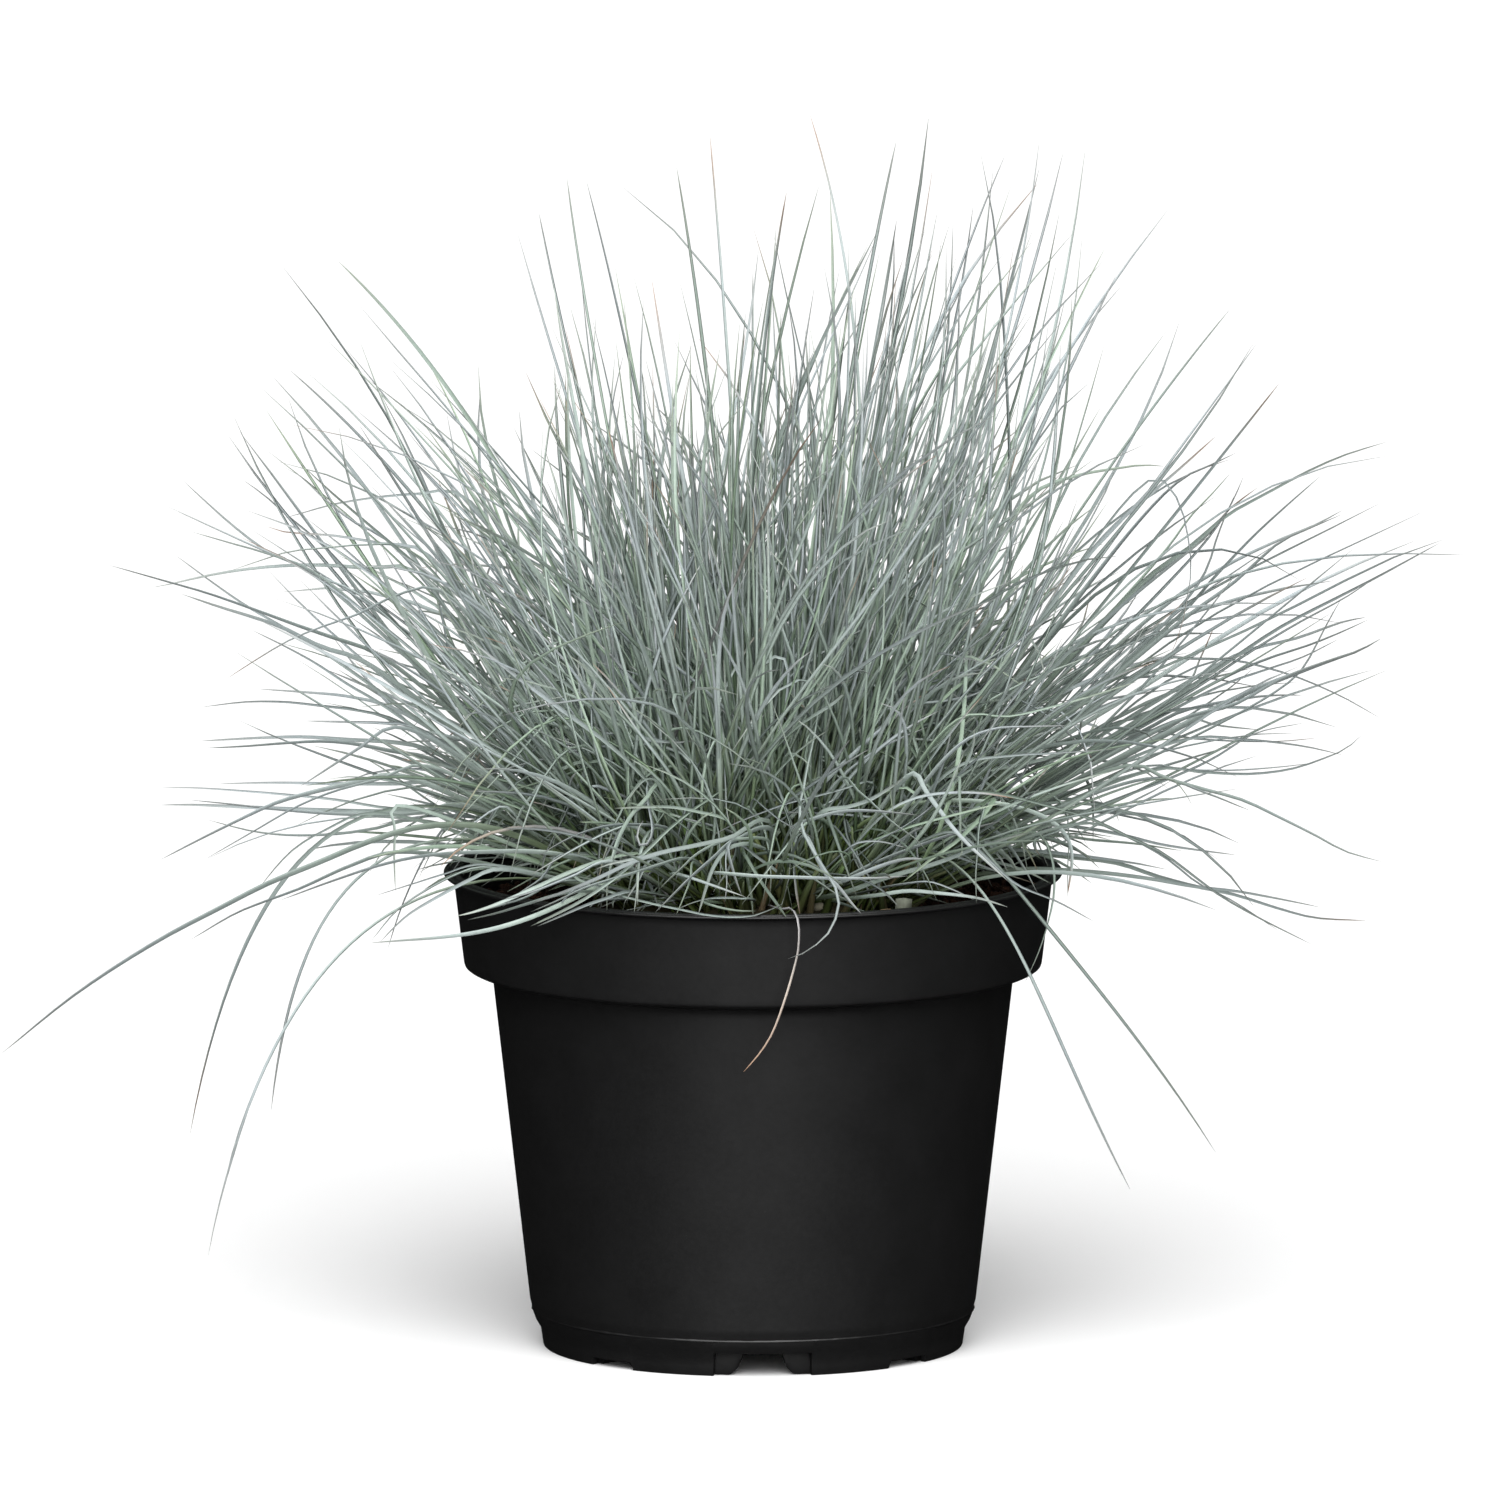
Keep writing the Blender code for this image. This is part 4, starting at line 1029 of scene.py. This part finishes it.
def bunching(lean, heading):
    """How far leaves reach by their direction seen from the front: bunches, with gaps between."""
    seen = np.degrees(np.arctan2(np.cos(lean), np.sin(lean) * np.cos(heading)))
    return np.interp(seen, *np.array(BUNCHES).T)


def waves(count, spread, slowest, fastest):
    """The slow wave of each leaf: its size from a spread in degrees, its start and its turns."""
    return np.stack([np.radians(rng.normal(0, spread, count)), rng.random(count),
                     rng.uniform(slowest, fastest, count)], -1)


def bulk_leaves(tillers, each):
    """Arrays that describe the many leaves, a few from every shoot."""
    root, heading, lean, share = (np.repeat(a, each, axis=0) for a in tillers)
    count = len(lean)
    root = root + rng.normal(0, 0.9, (count, 3)) * MM * (1, 1, 0.3)
    heading = heading + rng.normal(0, 1, count) * np.where(rng.random(count) < 0.42, 1.4, 0.35)
    lean = np.abs(lean + np.radians(rng.normal(0, 10.0, count)))
    bend = np.radians(rng.normal(10, 25, count) + 20 * share * rng.random(count))
    length = np.clip(rng.normal(107, 23, count), 38, 152) * MM
    length *= bunching(lean + 0.4 * bend, heading)
    sweep = np.radians(rng.normal(0, 36, count))
    return root, lean, heading, length, bend, sweep, waves(count, 4.0, 0.6, 1.4)


def skirt_leaves(count):
    """Arrays that describe the short, strongly curved leaves round the foot of the clump."""
    angle = rng.uniform(0, 2 * PI, count)
    root = round_point(angle, rng.uniform(12, 32, count), np.full(count, LEAF_FOOT))
    heading = angle + rng.normal(0, 0.8, count)
    lean = np.radians(rng.uniform(22, 76, count))
    length = np.clip(rng.normal(62, 18, count), 26, 110) * MM
    bend = np.radians(rng.normal(22, 28, count))
    sweep = np.radians(rng.normal(0, 55, count))
    return root, lean, heading, length, bend, sweep, waves(count, 6.0, 0.5, 1.2)


def clear_of_pot(paths):
    """True for each leaf that passes over the rim without touching pot or peat."""
    radius = np.hypot(paths[..., 0], paths[..., 1])
    height = paths[..., 2]
    touches = np.zeros(radius.shape, dtype=bool)
    for (inner, outer), clearance in ((RIM_BAND, OVER_RIM), (PEAT_BAND, OVER_PEAT)):
        touches |= (radius > inner) & (radius < outer) & (height < clearance)
    return ~touches.any(axis=1)


def to_pixels(points):
    """Where points come to lie in the photograph's frame, for a long lens."""
    x = AXIS_PIXEL + points[..., 0] / PIXEL
    y = FOOT_CENTRE_PIXEL - (points[..., 2] * math.cos(CAMERA_RISE)
                             + points[..., 1] * math.sin(CAMERA_RISE)) / PIXEL
    return x, y


def clear_of_front(paths):
    """True for each leaf that leaves the pot's front in view."""
    x, y = to_pixels(paths)
    hides = (np.abs(x - AXIS_PIXEL) < FRONT_HALF_PIXELS) & (y > FRONT_TOP_PIXEL)
    return ~(hides & (paths[..., 1] < -10 * MM)).any(axis=1)


def open_parting(paths):
    """True for each leaf outside the parting at the front, and for a few of those in it.

    The shoots' green bases show there, because most leaves in front of them lie to either side.
    Of the leaves that would hide those traced at the front, only a part stays too, and so it is
    with those that would hide the peat to the left and the right.
    """
    x, y, z = (paths[..., axis] for axis in range(3))
    parting = (np.abs(x - 10 * MM) < 10 * MM) & (y < -22 * MM) & (z < 111 * MM)
    front = (np.abs(x) < 46 * MM) & (y < -43 * MM) & (z < 125 * MM)
    sides = (np.abs(x) > 40 * MM) & (np.abs(x) < 64 * MM) & (y < 0) & (z < 105 * MM)
    draw = rng.random(len(paths))
    stays = np.ones(len(paths), dtype=bool)
    for region, share in ((parting, 0.15), (front, 0.24), (sides, 0.40)):
        stays &= ~region.any(axis=1) | (draw < share)
    return stays


def holds_up(paths):
    """True for each leaf that neither hangs down nor leaves the clump's outline."""
    height, furthest = paths[..., 2], np.abs(paths[..., :2]).max(axis=(1, 2))
    above = (height.min(axis=1) > REACH_DOWN) & (height[:, -1] > TIP_DOWN)
    return above & (furthest < REACH_OUT) & (height.max(axis=1) < REACH_UP)


SECTORS = ("middle", "front_right", "right", "back_right", "back_left", "left", "front_left")


def sector_of(points):
    """Which of seven leaf pieces a point belongs to: the middle, or one of six round it."""
    middle, sixth = 42 * MM, PI / 3
    radius = np.hypot(points[..., 0], points[..., 1])
    heading = np.mod(np.arctan2(points[..., 1], points[..., 0]) + PI / 2, 2 * PI)
    return np.where(radius < middle, 0, 1 + np.minimum((heading / sixth).astype(int), 5))


def blue_leaf_material():
    """Green at the base, blue-grey with wax for most of the length, and greyer at the tip."""
    stops = [
        (0.0, (0.12, 0.165, 0.035)), (0.11, (0.155, 0.21, 0.057)), (0.25, (0.29, 0.365, 0.245)),
        (0.43, (0.45, 0.53, 0.485)), (0.80, (0.47, 0.525, 0.545)), (1.0, (0.42, 0.43, 0.42)),
    ]
    dry = [(0.55, (0.44, 0.425, 0.44)), (0.75, (0.53, 0.45, 0.39)), (1.0, (0.36, 0.20, 0.12))]
    return leaf_material("blue_leaf", stops, (0.85, 0.985, 0.73), dry, 0.55)


def leaf_tint(paths, dry, painted_shade, spread, green):
    """The four numbers for every point: along, green, dry, and bloom with painted shade at each
    corner.

    Green is added to each leaf's greenness, and its painted shade is taken from its wax bloom, which
    varies by the spread. The corners add painted light on the edges and painted shade in the groove
    and on the keel. Leaves that reach far out are less green and carry painted shade, most of all
    those on the right, and a few leaves have a dry tip.
    """
    count, stations = paths.shape[:2]
    t = np.linspace(0, 1, stations)
    far = smooth_step((np.hypot(paths[:, -1, 0], paths[:, -1, 1]) / MM - 75) / 50)
    tint = np.zeros((count, stations, 4, 4))
    tint[..., 0] = t[None, :, None]
    greenness = rng.normal(0.28, 0.34, count) + green - 0.40 * far
    tint[..., 1] = np.clip(greenness, 0, 1)[:, None, None]
    dry_tip = (rng.random(count) < 0.08)[:, None] * smooth_step((t - 0.88) / 0.12)
    tint[..., 2] = np.maximum(dry_tip, dry[:, None])[:, :, None]
    # Random wax bloom, less painted shade: on leaves that reach far out, deeper on the right side,
    # and each leaf's own.
    bloom_and_shade = rng.normal(0.76, spread, count) - far * np.where(paths[:, -1, 0] > 0, 0.56, 0.32) - painted_shade
    bloom_and_shade = np.clip(bloom_and_shade, 0.05, 1.0)[:, None, None]
    # Painted light on each leaf's edges and painted shade in its groove and on its keel.
    tint[..., 3] = np.clip(bloom_and_shade + 0.60 * (CORNER_LIGHT_AND_SHADE - 0.6), 0, 1)
    return tint


def leaf_arrays(paths, half, dry, painted_shade, green, even=0.58, spread=0.27, facing=None):
    """Points, tints and sectors of the leaves on these centre lines.

    Half is each leaf's half width in millimetres. A leaf's hollow side faces up and inwards,
    unless a direction is given.
    """
    count, stations = paths.shape[:2]
    if facing is None:
        facing = np.concatenate([-paths[:, -1, :2] * 3, np.full((count, 1), 0.6)], 1)
        facing /= np.linalg.norm(facing, axis=1, keepdims=True)
    facing = facing + rng.normal(0, 0.6, (count, 3))
    half = half * MM * np.clip(rng.normal(1, 0.12, count), 0.7, 1.35)
    points = swept(paths, leaf_width(half, stations, even), 1.0, facing, rng.normal(0, 0.9, count))
    return points, leaf_tint(paths, dry, painted_shade, spread, green), sector_of(paths[:, -1])


def placed_leaves():
    """The long and the curled leaves, as arguments of leaf_arrays."""
    paths = hand_placed_paths()
    return paths, np.full(len(paths), 0.45), np.zeros(len(paths)), 0, DRAWN_GREEN


def traced_leaves():
    """The leaves that follow the photograph's, as arguments of leaf_arrays.

    The wing number grows from 0 at the clump's foot to 1 in its wings, with the tip's distance
    from the axis, and the low number grows to 1 as the tip comes down to the rim. At the foot the
    leaves keep their width for longer, and low ones are narrower. Painted shade darkens the leaves
    at the foot, more on the right and more again for low ones by the rim; the dry strand and the
    three lit leaves carry almost none.
    """
    paths = np.stack([traced_path(row[1:]) for row in TRACED_LEAVES])
    tip = paths[:, -1]
    wing = np.interp(np.hypot(tip[:, 0], tip[:, 1]), (60 * MM, 90 * MM), (0, 1))
    low = np.interp(tip[:, 2], (97 * MM, 112 * MM), (1, 0))
    half = np.array([row[0] for row in TRACED_LEAVES]) * (1 - (0.14 + 0.16 * low) * (1 - wing))
    dry = (np.arange(len(paths)) == DRY_STRAND) * 0.95
    # Painted shade: every leaf a little, those at the foot more, most on the right, and low ones by
    # the rim more again.
    painted_shade = 0.10 + np.where(tip[:, 0] > 20 * MM, 0.42, 0.23) * (1 - wing) + 0.20 * low
    painted_shade[DRY_STRAND], painted_shade[LIT_LEAVES] = 0, -0.02
    even = (0.80 - 0.35 * wing)[:, None]
    return paths, half, dry, painted_shade, DRAWN_GREEN, even, 0.14, (0, -1.5, 0.6)


def grown_leaves(tillers):
    """The leaves that grow at random, as arguments of leaf_arrays.

    Each kind has its half width in millimetres, how much painted shade darkens its leaves and how
    much greener they are. Leaves whose tips lie to the right carry more painted shade and are less
    green than the others.
    """
    kinds = (
        (paths_from_angles(*bulk_leaves(tillers, LEAVES_EACH)), 0.42, 0.0, 0.0),
        # The skirt and fringe round the clump's foot carry the most painted shade.
        (paths_from_angles(*skirt_leaves(SKIRT_COUNT)), 0.41, 0.40, 0.30),
        (fringe_paths(FRINGE_COUNT), 0.43, 0.46, 0.30),
        (wandering_paths(WANDERING_COUNT), 0.42, 0.12, 0.10),
    )
    paths = np.concatenate([kind[0] for kind in kinds])
    counts = [len(kind[0]) for kind in kinds]
    half, painted_shade, green = (np.repeat([kind[k] for kind in kinds], counts) for k in (1, 2, 3))
    half *= np.where(rng.random(len(half)) < BROAD_SHARE, 1.3, 1)
    kept = clear_of_pot(paths) & clear_of_front(paths) & holds_up(paths) & open_parting(paths)
    dry = (rng.random(kept.sum()) < DEAD_SHARE) * 0.9
    right = paths[:, -1, 0] > 15 * MM
    # Deeper painted shade for leaves on the right side.
    painted_shade *= np.where(right, 1.65, 1)
    green *= np.where(right, 0.2, 0.8)
    return paths[kept], half[kept], dry, painted_shade[kept], green[kept]


def make_leaves(tillers):
    """All leaves, parted by direction into seven pieces that replace the tillers on their side.

    A tiller's middle lies nearer the axis than its leaves' tips do, so it is moved outwards before
    its side is found.
    """
    blue = blue_leaf_material()
    grown = grown_leaves(tillers)
    sets = [leaf_arrays(*leaves) for leaves in (placed_leaves(), traced_leaves(), grown)]
    traced_tint = sets[1][1]
    traced_tint[LIT_LEAVES, ..., 1] = LIT_LEAVES_GREEN
    nodes = [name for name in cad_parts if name.startswith("tiller")]
    centres = np.array([np.mean(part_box(name), axis=0) for name in nodes])
    outwards = (1.35, 1.35, 1.0)
    node_sector = sector_of(centres * outwards)
    for number, label in enumerate(SECTORS):
        all_points, all_tints, faces, start = [], [], [], 0
        for points, tint, sector in sets:
            mine = sector == number
            faces += [f + start for f in swept_faces(mine.sum(), points.shape[1])]
            all_points.append(points[mine].reshape(-1, 3))
            all_tints.append(tint[mine].reshape(-1, 4))
            start += len(all_points[-1])
        piece = add_mesh(f"leaves_{label}", np.concatenate(all_points), faces, blue)
        set_tint(piece, np.concatenate(all_tints))
        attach(piece, "root")
        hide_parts(*[name for name, s in zip(nodes, node_sector) if s == number])


# Crown

def make_sheaths(tillers, thatch):
    """Two short sheaths for each shoot, thicker than the leaves they hold."""
    root, heading, lean, _ = (np.repeat(a, 2, axis=0) for a in tillers)
    count = len(lean)
    root = root + rng.normal(0, 1.2, (count, 3)) * MM * (1, 1, 0) - (0, 0, 1.0 * MM)
    length = rng.uniform(12, 26, count) * MM
    heading = heading + rng.normal(0, 0.4, count)
    taper = np.array([1.0, 1.0, 0.9, 0.75, 0.6, 0.4])
    paths = paths_from_angles(root, lean * 0.8, heading, length, lean * 0.3,
                              np.zeros(count), np.zeros((count, 3)), len(taper))
    width = taper * (rng.uniform(0.6, 1.15, count) * MM)[:, None]
    points = swept(paths, width, 0.8, rng.normal(0, 1, (count, 3)), rng.normal(0, 0.5, count))
    tint = np.zeros((*points.shape[:3], 4))
    tint[..., 0] = np.linspace(0, 1, len(taper))[None, :, None]
    tint[..., 1] = rng.random(count)[:, None, None]
    tint[..., 2] = (rng.random(count) ** 5)[:, None, None]
    tint[..., 3] = rng.uniform(0.2, 0.9, count)[:, None, None]
    sheaths = add_mesh("leaf_sheaths", points, swept_faces(*points.shape[:2]), thatch)
    set_tint(sheaths, tint)
    return sheaths


def make_mound(thatch):
    """The low mound of old bases: a quarter of an ellipse turned round the axis, then roughened."""
    radius, rise, base = 34.0 * MM, 5.0 * MM, SOIL_LEVEL - 3 * MM
    turn = np.linspace(0, PI / 2, 12)[1:]
    profile = np.stack([radius * np.sin(turn), SOIL_LEVEL + rise * np.cos(turn)], -1)
    profile = np.concatenate([profile, [(radius - MM, base), (MM, base)]])
    mound = turned(profile[::-1], np.linspace(0, 2 * PI, 64, endpoint=False))
    mound[..., 2] += 0.6 * MM * lattice_noise(mound[..., 0], mound[..., 1], 2.5 * MM, 9)
    heap = add_mesh("crown_mound", *turned_grid(mound), thatch)
    set_tint(heap, np.tile((0.05, 0.0, 0.2, 0.2), (len(heap.data.vertices), 1)))
    return heap


def make_crown(tillers):
    """The mound and the sheaths that stand on it, brown at the base and green above."""
    stops = [
        (0.0, (0.030, 0.018, 0.010)), (0.15, (0.10, 0.10, 0.035)), (0.5, (0.11, 0.145, 0.045)),
        (1.0, (0.22, 0.29, 0.15)),
    ]
    dry = [(0.0, (0.22, 0.16, 0.09)), (1.0, (0.30, 0.23, 0.14))]
    thatch = leaf_material("sheath_bases", stops, (0.75, 0.95, 0.55), dry, 0.7)
    for piece in (make_sheaths(tillers, thatch), make_mound(thatch)):
        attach(piece, "root")
        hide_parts("crown")


# Stage

def make_stage():
    """A pale floor, wide enough that its edge doesn't show."""
    material, _, shader = new_material("pale_floor", roughness=0.9, specular=0.0)
    shader.inputs["Base Color"].default_value = (0.90, 0.90, 0.90, 1.0)
    reach = 30.0
    corners = np.array([(-1, -1, 0), (1, -1, 0), (1, 1, 0), (-1, 1, 0)]) * reach
    floor = add_mesh("floor", corners, [np.array([[0, 1, 2, 3]])], material, smooth=False)
    floor.visible_glossy = False


def make_sun(name, heading, height, softness, power):
    """A soft sun from a heading and a height in degrees, which lights the whole floor evenly."""
    data = bpy.data.lights.new(name, "SUN")
    data.energy = power
    data.angle = math.radians(softness)
    sun = bpy.data.objects.new(name, data)
    across, up = math.radians(heading), math.radians(height)
    way = Vector((math.sin(across) * math.cos(up), -math.cos(across) * math.cos(up), math.sin(up)))
    sun.rotation_euler = way.to_track_quat("Z", "Y").to_euler()
    bpy.context.collection.objects.link(sun)


def make_softbox(name, place, target, size, power):
    """A rectangular light at a place, turned to a target, that the camera doesn't see."""
    data = bpy.data.lights.new(name, "AREA")
    data.shape = "RECTANGLE"
    data.size, data.size_y = size
    data.energy = power
    light = bpy.data.objects.new(name, data)
    light.location = place
    light.rotation_euler = (Vector(target) - Vector(place)).to_track_quat("-Z", "Y").to_euler()
    light.visible_camera = False
    bpy.context.collection.objects.link(light)


def make_lights():
    """A soft sun from above, a softbox in front, and a white world.

    The world is at full strength for the camera, a quarter of it for light, and almost dark in
    reflections, so that the plastic shows the lamps alone.
    """
    make_sun("overhead", 0, 50, 60, 3.9)
    make_softbox("front_softbox", (0.08, -2.0, 0.72), (0, 0, 0.12), (1.95, 1.36), 28.0)
    world = bpy.data.worlds.new("studio")
    bpy.context.scene.world = world
    world.use_nodes = True
    tree = world.node_tree
    background = tree.nodes["Background"]
    background.inputs["Color"].default_value = (1.0, 1.0, 1.0, 1.0)
    ray = tree.nodes.new("ShaderNodeLightPath")
    shown = to_range(tree, ray.outputs["Is Camera Ray"], 0.25, 1.0)
    strength = node(tree, "ShaderNodeMath", operation="MULTIPLY")
    tree.links.new(shown, strength.inputs[0])
    tree.links.new(to_range(tree, ray.outputs["Is Glossy Ray"], 1.0, 0.05), strength.inputs[1])
    tree.links.new(strength.outputs[0], background.inputs["Strength"])


def make_camera():
    """A long lens at the photograph's rise, framed so that axis and foot fall on their pixels."""
    data = bpy.data.cameras.new("camera")
    data.sensor_width = 36.0
    data.lens = data.sensor_width * CAMERA_DISTANCE / (IMAGE_SIDE * PIXEL)
    data.clip_end = 100.0
    centre_height = (FOOT_CENTRE_PIXEL - IMAGE_SIDE / 2) * PIXEL / math.cos(CAMERA_RISE)
    target = Vector(((IMAGE_SIDE / 2 - AXIS_PIXEL) * PIXEL, 0.0, centre_height))
    back = Vector((0.0, -math.cos(CAMERA_RISE), math.sin(CAMERA_RISE)))
    camera = bpy.data.objects.new("camera", data)
    camera.location = target + CAMERA_DISTANCE * back
    camera.rotation_euler = (-back).to_track_quat("-Z", "Y").to_euler()
    bpy.context.collection.objects.link(camera)
    bpy.context.scene.camera = camera


make_camera()
make_stage()
make_lights()
make_pot()
make_soil()
make_scraps()
tillers = grow_tillers(TILLER_COUNT)
make_leaves(tillers)
make_crown(tillers)
bpy.context.scene.view_settings.view_transform = "Standard"
